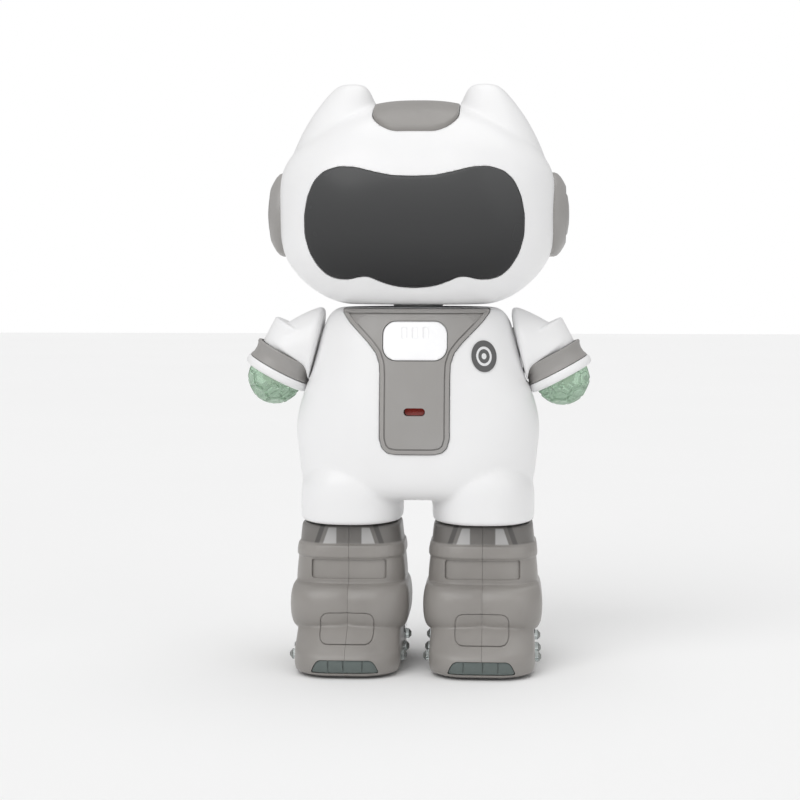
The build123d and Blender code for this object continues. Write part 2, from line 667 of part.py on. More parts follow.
def door_screw():
    head = CASE_REAR + 2
    shank = rod((0, CASE_FRONT + 4, DOOR_SCREW_Z), (0, head, DOOR_SCREW_Z), SCREW_RADIUS)
    return shank + rod((0, head, DOOR_SCREW_Z), (0, head + SCREW_HEAD, DOOR_SCREW_Z), SCREW_HEAD_RADIUS)


# ---- Power switch ----
def switch_housing():
    width, height, depth = SWITCH_BODY
    low = (-width / 2, SWITCH_FACE - depth, SWITCH_Z - height / 2)
    body = block(low, (width / 2, SWITCH_FACE, SWITCH_Z + height / 2))
    slot = block((-4.4, SWITCH_FACE - 3, SWITCH_Z - 1), (4.4, SWITCH_FACE + 1, SWITCH_Z + 1))
    return body - slot


def switch_knob():
    # The knob stands at the off end of its throw.
    width, height = SWITCH_KNOB
    off = -SWITCH_THROW / 2
    cap = block((off - width / 2, SWITCH_FACE + .2, SWITCH_Z - height / 2),
                (off + width / 2, SWITCH_FACE + 3.4, SWITCH_Z + height / 2))
    stem_low = (off - 1.5, SWITCH_FACE - 2.5, SWITCH_Z - .8)
    return cap + block(stem_low, (off + 1.5, SWITCH_FACE + .2, SWITCH_Z + .8))


# ---- Left arm ----
def armpit():
    # The point that the sleeve bends about, just outside the torso.
    tilt = radians(SHOULDER_TILT)
    seat = shoulder_plane(ARM_GAP).origin
    return seat + Vector(sin(tilt), 0, -cos(tilt)) * SLEEVE_RADIUS


def arm_section(angle, half, depth, inset):
    # One oval of the sleeve: its plane passes near the armpit, at an angle above the horizontal.
    radial = Vector(cos(radians(angle)), 0, sin(radians(angle)))
    forward = Vector(sin(radians(angle)), 0, -cos(radians(angle)))
    place = Plane(origin=armpit() + radial * half, x_dir=radial, z_dir=forward)
    return section(place, half - inset, depth - inset, 2)


def sleeve_bend(inset):
    angles = (90 + SHOULDER_TILT, 66, CUFF_TILT)
    shoulder = arm_section(angles[0], SLEEVE_RADIUS, SLEEVE_RADIUS, inset)
    elbow = arm_section(angles[1], SLEEVE_WAIST, SLEEVE_RADIUS, inset)
    cuff = arm_section(angles[2], SLEEVE_RADIUS, SLEEVE_RADIUS, inset)
    return loft([shoulder, elbow, cuff])


def cuff_plane():
    radial = Vector(cos(radians(CUFF_TILT)), 0, sin(radians(CUFF_TILT)))
    down = Vector(sin(radians(CUFF_TILT)), 0, -cos(radians(CUFF_TILT)))
    return Plane(origin=armpit() + radial * SLEEVE_RADIUS, x_dir=(0, 1, 0), z_dir=down)


def turned(points):
    # A ring about the cuff's axis, from its half profile of (radius, distance down the cuff).
    profile = make_face(Polyline(*points, close=True))
    return cuff_plane() * revolve(Plane.XZ * profile, Axis.Z)


def sleeve():
    end = BAND_HEIGHT + RIM_HEIGHT
    outer = sleeve_bend(0)
    tube = turned(((0, -.6), (CUFF_RADIUS, -.6), (CUFF_RADIUS, BAND_HEIGHT), (RIM_RADIUS - .6, BAND_HEIGHT),
                   (RIM_RADIUS, BAND_HEIGHT + .8), (RIM_RADIUS, end - .8), (RIM_RADIUS - .6, end), (0, end)))
    bore_radius = HAND_RADIUS + TRIM_GAP
    light_radius = CUFF_RADIUS - 1.4
    bore = turned(((0, 2), (light_radius, 2), (light_radius, BAND_HEIGHT), (bore_radius, BAND_HEIGHT),
                   (bore_radius, end + 1), (0, end + 1)))
    hollow = turned(((0, -5), (CUFF_RADIUS - 3, -5), (CUFF_RADIUS - 3, 3), (0, 3)))
    part = outer + tube - bore - hollow
    return part - shoulder_disc(-5, ARM_GAP + 4, AXLE_RADIUS + .02)


def cuff_band():
    waist = BAND_RADIUS - BAND_HOLLOW
    inner = CUFF_RADIUS + GLUE_GAP
    gap = GLUE_GAP
    return turned(((inner, gap), (BAND_RADIUS - .3, gap), (BAND_RADIUS - .3, 1), (waist, 1.6),
                   (waist, BAND_HEIGHT / 2), (BAND_RADIUS, BAND_HEIGHT - gap), (inner, BAND_HEIGHT - gap)))


def hand():
    # A clear half ball under the cuff, on a short collar that fits the rim's bore.
    rim = BAND_HEIGHT + RIM_HEIGHT
    centre = cuff_plane().origin + cuff_plane().z_dir * (rim - .5)
    place = Plane(origin=centre, z_dir=cuff_plane().z_dir)
    half = place * (Sphere(HAND_RADIUS) & Pos(0, 0, HAND_RADIUS) * Box(40, 40, 2 * HAND_RADIUS))
    top, end = BAND_HEIGHT + .1, rim - .5
    collar = turned(((0, top), (HAND_RADIUS, top), (HAND_RADIUS, end), (0, end)))
    inner = HAND_RADIUS - HAND_WALL
    well = turned(((0, 0), (inner, 0), (inner, end), (0, end)))
    return half + collar - place * Sphere(inner) - well


def hand_light():
    edge, face, tip = CUFF_RADIUS - 1.6, BAND_HEIGHT - .2, BAND_HEIGHT + 4.4
    disc = turned(((0, 4), (edge, 4), (edge, face), (0, face)))
    bulb = turned(((0, face), (2.5, face), (2.5, tip - 1.4), (1.5, tip), (0, tip)))
    return disc + bulb


def shoulder_hub():
    inner = -SEAT_DEPTH - ARM_GAP
    axle = shoulder_disc(inner - AXLE_FLANGE, ARM_GAP + 4, AXLE_RADIUS)
    return axle + shoulder_disc(inner - AXLE_FLANGE, inner, AXLE_FLANGE_RADIUS)


# ---- Left boot ----
@lru_cache
def boot_leg(inset):
    # The shaft of the boot leans in towards the hem.
    low, high = BOOT_HEIGHT * .5, BOOT_HEIGHT + (1 if inset > 0 else 0)
    return tapered_block(SHAFT_WIDTH - 2 * inset, SHAFT_DEPTH - 2 * inset, low, high, SHAFT_CORNER - inset,
                         SHAFT_TAPER, (LEG_X, 0))


@lru_cache
def ankle(inset):
    # The soft bulge over the shoe.
    low, high = BULGE_LEVELS
    return rounded_block(BOOT_WIDTH, BULGE_DEPTH, low, high, BULGE_CORNER, (BULGE_ROUND, BULGE_ROUND), inset,
                         (LEG_X, -BULGE_FORWARD))


@lru_cache
def shoe(inset):
    # A long rounded sole whose instep slopes down to the toe.
    low = GROUND_CLEARANCE - (1 if inset > 0 else 0)
    toe = -SHOE_FORWARD - SHOE_LENGTH / 2
    body = tapered_block(SHOE_WIDTH - 2 * inset, SHOE_LENGTH - 2 * inset, low, SHOE_HEIGHT - inset,
                         SHOE_CORNER - inset, 0, (LEG_X, -SHOE_FORWARD))
    slope = radians(INSTEP_SLOPE)
    place = Plane(origin=(LEG_X, toe, TOE_HEIGHT), z_dir=(0, -sin(slope), cos(slope)))
    return body - place * Pos(0, 0, -inset) * Box(200, 200, 60, align=(Align.CENTER, Align.CENTER, Align.MIN))


@lru_cache
def boot_form(inset):
    form = joined(shoe(inset), [ankle(inset), boot_leg(inset)])
    if inset > 0:
        return form
    low, high = BAND_LEVELS
    return form + tapered_block(BOOT_BAND_WIDTH, BOOT_BAND_WIDTH - 1, low, high, SHAFT_CORNER, 0, (LEG_X, 0))


def collar(inset):
    # The part of the boot that stands inside the trouser leg.
    shrink = 2 * (TORSO_WALL + COLLAR_GAP + inset)
    return tapered_block(LEG_WIDTH - shrink, LEG_WIDTH - shrink, BOOT_HEIGHT - 3, BOOT_HEIGHT + COLLAR_HEIGHT,
                         SHAFT_CORNER - TORSO_WALL - inset, 0, (LEG_X, 0))


def toe_window_outline(grow=0.0):
    low, high, height = TOE_WINDOW_SIZE
    z = TOE_WINDOW_ABOVE_FLOOR - grow
    corners = [(-low / 2 - grow, z), (low / 2 + grow, z), (high / 2 + grow, z + height + 2 * grow),
               (-high / 2 - grow, z + height + 2 * grow)]
    face = make_face(Polyline(*corners, close=True))
    return Pos(LEG_X, 0) * fillet(face.vertices(), 1.0)


def toe_prism(grow=0.0):
    outline = Plane.XZ * toe_window_outline(grow)
    return extrude(outline, 200) & block((0, -100, 0), (100, -SHOE_FORWARD - SHOE_LENGTH * .3, 30))


def boot_screw_places():
    front, rear = -SHOE_FORWARD - SHOE_LENGTH * .3, -SHOE_FORWARD + SHOE_LENGTH * .415
    return [(LEG_X + side * x, y) for side in (-1, 1) for x, y in ((10, front), (6, rear))]


def side_studs():
    # Clear faceted pegs in both sides of the shoe.
    studs = []
    for y, z in STUD_PLACES:
        for side in (-1, 1):
            start = (LEG_X + side * (SHOE_WIDTH / 2 - 1), y, z)
            end = (LEG_X + side * (SHOE_WIDTH / 2 + .9), y, z)
            tip = Cone(STUD_RADIUS, STUD_RADIUS * .4, .9, align=ON_BASE)
            studs.append(rod(start, end, STUD_RADIUS) + Pos(*end) * Rot(0, side * 90, 0) * tip)
    return studs


def stud_holes():
    holes = Part()
    for y, z in STUD_PLACES:
        for side in (-1, 1):
            reach = SHOE_WIDTH / 2
            start = (LEG_X + side * (reach - 1 - GLUE_GAP), y, z)
            holes += rod(start, (LEG_X + side * (reach + 5), y, z), STUD_RADIUS + GLUE_GAP)
    return holes


def light_band_zone(grow=0.0):
    low, high = LIGHT_BAND_LEVELS
    return block((0, 0 - grow, low - grow), (100, 100, high + grow))


def light_band():
    # A clear strip let into the heel.
    return (shoe(0) - shoe(LIGHT_BAND_DEPTH)) & light_band_zone()


def wheel_slot():
    low = (LEG_X + GEAR_SIDE - .3, WHEEL_BEHIND - WHEEL_RADIUS, -1)
    top = GROUND_CLEARANCE + SOLE_THICKNESS + 1
    return block(low, (WHEEL_X + WHEEL_WIDTH / 2 + .6, WHEEL_BEHIND + WHEEL_RADIUS, top))


def boot_shells():
    shell = boot_form(0) - boot_form(BOOT_WALL) + (collar(0) - collar(BOOT_WALL))
    inside = boot_form(BOOT_WALL / 2)
    top = GROUND_CLEARANCE + SOLE_THICKNESS
    for x, y in boot_screw_places():
        side = copysign(20, x - LEG_X)
        rib = block((min(x, x + side), y - .8, top), (max(x, x + side), y + .8, top + 6))
        shell += inside & (rod((x, y, top), (x, y, top + 6), 2.4) + rib)
    for x, y in boot_screw_places():
        shell -= rod((x, y, 0), (x, y, top + 5), SCREW_RADIUS + PILOT_GAP)
    shell -= toe_prism(TRIM_GAP)
    shell -= stud_holes()
    shell -= light_band_zone(GLUE_GAP) - shoe(LIGHT_BAND_DEPTH + GLUE_GAP)
    outer = shell & block((LEG_X, -100, 0), (100, 100, 100))
    inner = shell & block((0, -100, 0), (LEG_X, 100, 100))
    return outer, inner


def toe_window():
    return (shoe(.1) - shoe(BOOT_WALL)) & toe_prism()


def sole_plate():
    top = GROUND_CLEARANCE + SOLE_THICKNESS
    plate = shoe(BOOT_WALL + SOLE_GAP) & block((0, -100, GROUND_CLEARANCE), (100, 100, top))
    plate -= wheel_slot()
    half = TAB_THICKNESS
    for x in (LEG_X + GEAR_SIDE - .4 - half, WHEEL_X + WHEEL_WIDTH / 2 + .5):
        low = (x, WHEEL_BEHIND - 3.4, GROUND_CLEARANCE)
        tab = block(low, (x + half, WHEEL_BEHIND + 3.4, WHEEL_RADIUS + 3))
        plate += tab - rod((x - 1, WHEEL_BEHIND, WHEEL_RADIUS), (x + 3, WHEEL_BEHIND, WHEEL_RADIUS),
                           DRIVE_AXLE_RADIUS + RUNNING_GAP)
    low = PINION_Z - MOTOR_SIZE[2] / 2
    for x in (LEG_X - MOTOR_SIZE[0] + 1, LEG_X - 5):
        plate += block((x, WHEEL_BEHIND - 4, GROUND_CLEARANCE), (x + half, WHEEL_BEHIND + 4, low))
    for x, y in boot_screw_places():
        plate -= rod((x, y, 0), (x, y, 10), SCREW_RADIUS + PILOT_GAP)
        plate -= rod((x, y, 0), (x, y, GROUND_CLEARANCE + .9), SCREW_HEAD_RADIUS + RUNNING_GAP)
    return plate


def boot_screws():
    screws = []
    for x, y in boot_screw_places():
        seat = GROUND_CLEARANCE + .9
        screws.append(rod((x, y, GROUND_CLEARANCE + .1), (x, y, seat), SCREW_HEAD_RADIUS)
                      + rod((x, y, seat), (x, y, seat + 5), SCREW_RADIUS))
    return screws


def glide_studs():
    return [rod((LEG_X + x, y, 0), (LEG_X + x, y, GROUND_CLEARANCE), GLIDE_RADIUS) for x, y in GLIDE_PLACES]


def foot_motor():
    length, width, height = MOTOR_SIZE
    low = (LEG_X - length, WHEEL_BEHIND - width / 2, PINION_Z - height / 2)
    body = block(low, (LEG_X, WHEEL_BEHIND + width / 2, PINION_Z + height / 2))
    shaft_end = (LEG_X + GEAR_SIDE + GEAR_WIDTH, WHEEL_BEHIND, PINION_Z)
    return body + rod((LEG_X, WHEEL_BEHIND, PINION_Z), shaft_end, MOTOR_SHAFT_RADIUS)


def foot_light_board():
    top = GROUND_CLEARANCE + SOLE_THICKNESS
    front = -SHOE_FORWARD - SHOE_LENGTH / 2 + BOOT_WALL + 2.5
    board = block((LEG_X - 6, front + 1.5, top), (LEG_X + 6, front + 9, top + 1))
    for x in (-4, 4):
        board += block((LEG_X + x - 1.2, front + 1.5, top + 1), (LEG_X + x + 1.2, front + 3.5, top + 2.6))
    return board


# ---- Foot wheel and gears ----
def gear(teeth, phase):
    # Straight teeth, narrower at the tip, with backlash at the pitch circle.
    pitch = GEAR_MODULE * teeth / 2
    root, tip = pitch - GEAR_MODULE * 1.15, pitch + GEAR_MODULE * .85
    tooth = (pi * GEAR_MODULE / 2 - GEAR_BACKLASH) / 2
    points = []
    for index in range(teeth):
        turn = 2 * pi * index / teeth + phase
        for radius, half in ((root, tooth * 1.55), (pitch, tooth), (tip, tooth * .42)):
            points.append((radius, turn - half / radius))
        for radius, half in ((tip, tooth * .42), (pitch, tooth), (root, tooth * 1.55)):
            points.append((radius, turn + half / radius))
    outline = Polyline(*[(r * cos(a), r * sin(a)) for r, a in points], close=True)
    place = Plane(origin=(LEG_X + GEAR_SIDE, WHEEL_BEHIND, 0), x_dir=(0, 0, 1), z_dir=(1, 0, 0))
    return place * extrude(make_face(outline), GEAR_WIDTH)


def wheel_hub():
    start, end = LEG_X + WHEEL_SIDE, LEG_X + WHEEL_SIDE + WHEEL_WIDTH
    y, z = WHEEL_BEHIND, WHEEL_RADIUS
    hub = rod((start, y, z), (end, y, z), WHEEL_RADIUS - TYRE_THICKNESS)
    hub += Pos(0, 0, z) * gear(GEAR_TEETH, 0)
    tab = LEG_X + GEAR_SIDE - .4 - TAB_THICKNESS
    return hub + rod((tab, y, z), (end + .5 + TAB_THICKNESS, y, z), DRIVE_AXLE_RADIUS)


def wheel_tyre():
    start, end = LEG_X + WHEEL_SIDE, LEG_X + WHEEL_SIDE + WHEEL_WIDTH
    y, z = WHEEL_BEHIND, WHEEL_RADIUS
    return rod((start, y, z), (end, y, z), WHEEL_RADIUS) - rod((start - 1, y, z), (end + 1, y, z),
                                                              WHEEL_RADIUS - TYRE_THICKNESS)


def motor_pinion():
    wheel = Pos(0, 0, PINION_Z) * gear(PINION_TEETH, pi + pi / PINION_TEETH)
    return wheel - rod((LEG_X, WHEEL_BEHIND, PINION_Z), (LEG_X + 20, WHEEL_BEHIND, PINION_Z),
                       MOTOR_SHAFT_RADIUS + RUNNING_GAP / 2)


# ---- Build and save every piece ----
def save_pair(name, *shapes):
    # The left piece and its mirror image.
    save(f"{name}_left", *shapes)
    save(f"{name}_right", *[mirror(shape, about=Plane.YZ) for shape in shapes])


def save_both(name, shapes):
    # One node that holds the pieces of both sides.
    save(name, *shapes, *[mirror(shape, about=Plane.YZ) for shape in shapes])


def main():
    os.makedirs("parts", exist_ok=True)
    front, rear = head_shells()
    save("head_front_shell", front)
    save("head_rear_shell", rear)
    save("visor", visor())
    save("face_light_box", face_light_box())
    save("face_board", face_board())
    save("face_lights", *face_lights())
    save_pair("side_cover", side_cover())
    save("neck_post", neck_post())
    save("head_screws", *head_screws())
    save("top_button", top_button())
    save("switch_bridge", switch_bridge())
    save("button_switch", button_switch())
    save("speaker", speaker())
    front, rear = torso_shells()
    save("torso_front_shell", front)
    save("torso_rear_shell", rear)
    save("chest_panel", chest_panel())
    save("chest_window", chest_window())
    save("chest_sensor", chest_sensor())
    save("chest_badge", chest_badge())
    save("main_board", main_board())
    save("battery_case", battery_case())
    save("battery_cells", *battery_cells())
    save("battery_contacts", *battery_contacts())
    save("torso_screws", *torso_screws())
    save("battery_door", battery_door())
    save("door_screw", door_screw())
    save("switch_housing", switch_housing())
    save("switch_knob", switch_knob())
    save_pair("sleeve", sleeve())
    save_pair("cuff_band", cuff_band())
    save_pair("hand", hand())
    save_pair("hand_light", hand_light())
    save_pair("shoulder_hub", shoulder_hub())
    outer, inner = boot_shells()
    save_pair("boot_outer_shell", outer)
    save_pair("boot_inner_shell", inner)
    save_pair("toe_window", toe_window())
    save_pair("heel_light_band", light_band())
    save_both("side_studs", side_studs())
    save_pair("sole_plate", sole_plate())
    save_both("boot_screws", boot_screws())
    save_both("glide_studs", glide_studs())
    save_both("foot_motors", [foot_motor()])
    save_both("foot_light_boards", [foot_light_board()])
    save_pair("wheel_hub", wheel_hub())
    save_pair("wheel_tyre", wheel_tyre())
    save_pair("motor_pinion", motor_pinion())


main()
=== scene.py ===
import math
import bpy
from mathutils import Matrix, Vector


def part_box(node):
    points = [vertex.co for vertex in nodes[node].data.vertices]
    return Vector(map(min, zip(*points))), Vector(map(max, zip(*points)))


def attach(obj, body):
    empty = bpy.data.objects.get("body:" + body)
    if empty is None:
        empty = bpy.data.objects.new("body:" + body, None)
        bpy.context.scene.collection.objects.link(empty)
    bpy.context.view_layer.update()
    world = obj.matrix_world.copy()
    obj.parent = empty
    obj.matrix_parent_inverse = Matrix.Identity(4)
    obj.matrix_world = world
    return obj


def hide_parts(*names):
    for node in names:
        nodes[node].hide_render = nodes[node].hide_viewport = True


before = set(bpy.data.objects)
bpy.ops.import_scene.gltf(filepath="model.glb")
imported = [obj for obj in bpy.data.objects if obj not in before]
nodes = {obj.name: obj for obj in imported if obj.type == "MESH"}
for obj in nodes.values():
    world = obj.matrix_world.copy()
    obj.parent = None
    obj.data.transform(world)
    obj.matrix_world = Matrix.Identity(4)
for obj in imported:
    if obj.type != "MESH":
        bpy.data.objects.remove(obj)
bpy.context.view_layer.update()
mm = 0.001  # sizes in the settings below are in millimetres
far = 60  # further out than any piece reaches
frontCut = (-far, 55)  # where a cutting form starts in front of the robot, and how deep it goes


def clearSelection():
    if bpy.context.object and bpy.context.object.mode == "EDIT":
        bpy.ops.object.mode_set(mode="OBJECT")
    bpy.ops.object.select_all(action="DESELECT")


def pick(piece):
    clearSelection()
    piece.select_set(True)
    bpy.context.view_layer.objects.active = piece


def editAll(piece):
    pick(piece)
    bpy.ops.object.mode_set(mode="EDIT")
    bpy.ops.mesh.select_all(action="SELECT")


def useModifier(piece, kind, **settings):
    pick(piece)
    modifier = piece.modifiers.new(kind.title(), kind)
    for key, value in settings.items():
        setattr(modifier, key, value)
    bpy.ops.object.modifier_apply(modifier=modifier.name)
    return piece


def copyOf(piece, name):
    pick(piece)
    bpy.ops.object.duplicate()
    twin = bpy.context.object
    twin.name = name
    return twin


def discard(*pieces):
    for piece in pieces:
        bpy.data.objects.remove(piece)


def settle(piece):  # place, turn and size go into the mesh
    pick(piece)
    bpy.ops.object.transform_apply(location=True, rotation=True, scale=True)
    return piece


def faceOutwards(piece):
    editAll(piece)
    bpy.ops.mesh.remove_doubles(threshold=0.000001)
    bpy.ops.mesh.normals_make_consistent(inside=False)
    bpy.ops.object.mode_set(mode="OBJECT")
    return piece


def swell(piece, distance, even=False):
    editAll(piece)
    bpy.ops.transform.shrink_fatten(value=distance * mm, use_even_offset=even)
    bpy.ops.object.mode_set(mode="OBJECT")
    return piece


def boolean(piece, tool, operation="DIFFERENCE"):
    useModifier(piece, "BOOLEAN", operation=operation, object=tool, solver="MANIFOLD")
    discard(tool)
    return piece


def weld(name, *pieces):  # several closed forms become one object
    pick(pieces[0])
    for piece in pieces[1:]:
        piece.select_set(True)
    bpy.ops.object.join()
    bpy.context.object.name = name
    return bpy.context.object


def mould(piece, voxel, rounds):  # melts joins and edges into one skin
    useModifier(piece, "REMESH", mode="VOXEL", voxel_size=voxel * mm)
    useModifier(piece, "SMOOTH", factor=0.5, iterations=rounds)
    pick(piece)
    bpy.ops.object.shade_smooth()
    return piece


def smoothUpTo(piece, degrees):  # edges sharper than this stay crisp
    pick(piece)
    bpy.ops.object.shade_smooth_by_angle(angle=math.radians(degrees))


def mirrored(piece, name):
    twin = copyOf(piece, name)
    twin.scale = (-1, 1, 1)
    settle(twin)
    return faceOutwards(twin)


def block(name, low, high):
    clearSelection()
    middle = [(a + b) / 2 * mm for a, b in zip(low, high)]
    bpy.ops.mesh.primitive_cube_add(size=1, location=middle)
    cube = bpy.context.object
    cube.name = name
    cube.scale = [(b - a) * mm for a, b in zip(low, high)]
    return settle(cube)


def tower(name, rings, corner=0.98, centreX=0, smooth=2, fixedCorner=None):
    # rings are (height, half width, front, back, and at times a shift sideways)
    # a rounded square is extruded from one ring to the next
    clearSelection()
    bpy.ops.mesh.primitive_plane_add(size=2)
    piece = bpy.context.object
    piece.name = name
    bpy.ops.object.mode_set(mode="EDIT")
    width, depth = 1.0, 1.0
    if fixedCorner:
        width, depth = rings[0][1] * mm, (rings[0][3] - rings[0][2]) / 2 * mm
        bpy.ops.transform.resize(value=(width, depth, 1))
        bpy.ops.mesh.bevel(offset=fixedCorner * mm, segments=8, affect="VERTICES")
    else:
        bpy.ops.mesh.bevel(offset=corner, segments=8, affect="VERTICES")
    spot = Vector((0, 0, 0))
    for index, ring in enumerate(rings):
        newWidth, newDepth = ring[1] * mm, (ring[3] - ring[2]) / 2 * mm
        sideways = ring[4] if len(ring) > 4 else 0
        newSpot = Vector(((centreX + sideways) * mm, (ring[2] + ring[3]) / 2 * mm, ring[0] * mm))
        if index:
            bpy.ops.mesh.extrude_region_move(TRANSFORM_OT_translate={"value": newSpot - spot})
        else:
            bpy.ops.transform.translate(value=newSpot - spot)
        bpy.ops.transform.resize(value=(newWidth / width, newDepth / depth, 1), center_override=newSpot)
        width, depth, spot = newWidth, newDepth, newSpot
    bpy.ops.object.mode_set(mode="OBJECT")
    faceOutwards(piece)
    if smooth:
        useModifier(piece, "SUBSURF", levels=smooth, render_levels=smooth)
    return settle(piece)


def cornerWalk(name, spots):  # extrudes one vertex from corner to corner and fills the loop
    clearSelection()
    bpy.context.tool_settings.mesh_select_mode = (True, False, False)
    bpy.ops.mesh.primitive_plane_add(size=mm, location=spots[0])
    piece = bpy.context.object
    piece.name = name
    bpy.ops.object.mode_set(mode="EDIT")
    bpy.ops.mesh.merge(type="CENTER")
    for here, there in zip(spots, spots[1:]):
        bpy.ops.mesh.extrude_region_move(TRANSFORM_OT_translate={"value": there - here})
    bpy.ops.mesh.select_all(action="SELECT")
    bpy.ops.mesh.edge_face_add()
    return piece


def outline(name, points, rounding, start, length, plane="front", segments=5):
    # a flat outline with its corners rounded, given depth
    if plane == "front":
        spots = [Vector((a, start, b)) * mm for a, b in points]
        reach = Vector((0, length, 0)) * mm
    else:
        spots = [Vector((a, b, start)) * mm for a, b in points]
        reach = Vector((0, 0, length)) * mm
    piece = cornerWalk(name, spots)
    bpy.ops.mesh.bevel(offset=rounding * mm, segments=segments, affect="VERTICES", clamp_overlap=True)
    bpy.ops.mesh.select_all(action="SELECT")
    bpy.ops.mesh.extrude_region_move(TRANSFORM_OT_translate={"value": reach})
    bpy.ops.object.mode_set(mode="OBJECT")
    settle(piece)
    return faceOutwards(piece)


def bothSides(points):  # right half, top to bottom, becomes the whole outline
    left = [(-a, b) for a, b in reversed(points) if abs(a) > 0.01]
    return list(points) + left


def box4(halfWidth, low, high, centre=0):
    left, right = centre - halfWidth, centre + halfWidth
    return [(left, low), (right, low), (right, high), (left, high)]


def skin(base, name, prism, proud, thick, voxel, rounds):
    # a thin cover cut out of the body's own surface, so it follows the curve
    cover = swell(copyOf(base, name), proud)
    core = swell(copyOf(base, name + "Core"), proud - thick)
    boolean(cover, prism, "INTERSECT")
    boolean(cover, core)
    return mould(cover, voxel, rounds)


def setUp(name):
    material = bpy.data.materials.new(name)
    material.use_nodes = True
    tree = material.node_tree
    shader = tree.nodes["Principled BSDF"]
    coordinates = tree.nodes.new("ShaderNodeTexCoord")
    return material, tree, shader, coordinates


def addNoise(tree, coordinates, scale, detail):
    noise = tree.nodes.new("ShaderNodeTexNoise")
    noise.inputs["Scale"].default_value = scale
    noise.inputs["Detail"].default_value = detail
    tree.links.new(coordinates.outputs["Object"], noise.inputs["Vector"])
    return noise


def spread(tree, source, low, high, fromLow=0.3, fromHigh=0.7):
    node = tree.nodes.new("ShaderNodeMapRange")
    node.inputs["From Min"].default_value = fromLow
    node.inputs["From Max"].default_value = fromHigh
    node.inputs["To Min"].default_value = low
    node.inputs["To Max"].default_value = high
    tree.links.new(source, node.inputs["Value"])
    return node.outputs["Result"]


def doSum(tree, operation, *values):
    node = tree.nodes.new("ShaderNodeMath")
    node.operation = operation
    for socket, value in zip(node.inputs, values):
        if isinstance(value, (int, float)):
            socket.default_value = value
        else:
            tree.links.new(value, socket)
    return node.outputs["Value"]


def blendColours(tree, factor, first, second):
    mix = tree.nodes.new("ShaderNodeMix")
    mix.data_type = "RGBA"
    tree.links.new(factor, mix.inputs["Factor"])
    for socket, value in ((mix.inputs["A"], first), (mix.inputs["B"], second)):
        if isinstance(value, tuple):
            socket.default_value = (*value, 1)
        else:
            tree.links.new(value, socket)
    return mix.outputs["Result"]


def addBump(tree, shader, height, strength, distance):
    bump = tree.nodes.new("ShaderNodeBump")
    bump.inputs["Strength"].default_value = strength
    bump.inputs["Distance"].default_value = distance * mm
    tree.links.new(height, bump.inputs["Height"])
    tree.links.new(bump.outputs["Normal"], shader.inputs["Normal"])


def tone(level, warm=0.0):  # display grey, 0 to 255, as linear colour
    def linear(value):
        value = value / 255
        return value / 12.92 if value <= 0.04045 else ((value + 0.055) / 1.055) ** 2.4
    return (linear(level + warm), linear(level), linear(level - warm))


def mouldedPlastic(name, light, dark, roughness, grain=0.04, sub=0.0):
    material, tree, shader, coordinates = setUp(name)
    drift = addNoise(tree, coordinates, 45, 2)
    colour = blendColours(tree, spread(tree, drift.outputs["Fac"], 0, 1), dark, light)
    tree.links.new(colour, shader.inputs["Base Color"])
    patches = addNoise(tree, coordinates, 320, 4)
    uneven = spread(tree, patches.outputs["Fac"], roughness - 0.05, roughness + 0.06)
    tree.links.new(uneven, shader.inputs["Roughness"])
    fine = addNoise(tree, coordinates, 2600, 5)
    addBump(tree, shader, fine.outputs["Fac"], grain, 0.12)
    shader.inputs["Specular IOR Level"].default_value = 0.45
    if sub:
        shader.inputs["Subsurface Weight"].default_value = sub
        shader.inputs["Subsurface Radius"].default_value = (0.004, 0.004, 0.0038)
        shader.inputs["Subsurface Scale"].default_value = 0.5
    return material


def clearPlastic(name, colour, roughness, transmission=0.92, grain=0.05):
    material, tree, shader, coordinates = setUp(name)
    drift = addNoise(tree, coordinates, 120, 2)
    shade = tuple(channel * 0.9 for channel in colour)
    tree.links.new(blendColours(tree, drift.outputs["Fac"], shade, colour), shader.inputs["Base Color"])
    patches = addNoise(tree, coordinates, 500, 3)
    tree.links.new(spread(tree, patches.outputs["Fac"], roughness, roughness + 0.05), shader.inputs["Roughness"])
    fine = addNoise(tree, coordinates, 900, 3)
    addBump(tree, shader, fine.outputs["Fac"], grain, 0.1)
    shader.inputs["Transmission Weight"].default_value = transmission
    shader.inputs["IOR"].default_value = 1.47
    return material


def metalFinish(name, colour, roughness):
    material, tree, shader, coordinates = setUp(name)
    drift = addNoise(tree, coordinates, 300, 4)
    shade = tuple(channel * 0.8 for channel in colour)
    tree.links.new(blendColours(tree, drift.outputs["Fac"], shade, colour), shader.inputs["Base Color"])
    tree.links.new(spread(tree, drift.outputs["Fac"], roughness, roughness + 0.15), shader.inputs["Roughness"])
    fine = addNoise(tree, coordinates, 4000, 3)
    addBump(tree, shader, fine.outputs["Fac"], 0.1, 0.05)
    shader.inputs["Metallic"].default_value = 1.0
    return material


whitePlastic = mouldedPlastic("whitePlastic", (0.90, 0.90, 0.905), (0.875, 0.873, 0.875), 0.33, sub=0.08)
greyPlastic = mouldedPlastic("greyPlastic", tone(159, 2), tone(151, 3), 0.38)
capPlastic = mouldedPlastic("capPlastic", tone(148, 3), tone(141, 3), 0.36)
coverPlastic = mouldedPlastic("coverPlastic", tone(160, 2), tone(148, 3), 0.36)
solePlastic = mouldedPlastic("solePlastic", tone(130, 3), tone(118, 3), 0.5)
innerPlastic = mouldedPlastic("innerPlastic", tone(225), tone(215), 0.45)
blackPlastic = mouldedPlastic("blackPlastic", (0.03, 0.03, 0.03), (0.02, 0.02, 0.02), 0.45)
tyreRubber = mouldedPlastic("tyreRubber", (0.035, 0.035, 0.035), (0.02, 0.02, 0.02), 0.75, grain=0.3)
cellJacket = mouldedPlastic("cellJacket", (0.05, 0.22, 0.1), (0.04, 0.18, 0.08), 0.3)
badgeEnamel = mouldedPlastic("badgeEnamel", tone(98), tone(90), 0.34)
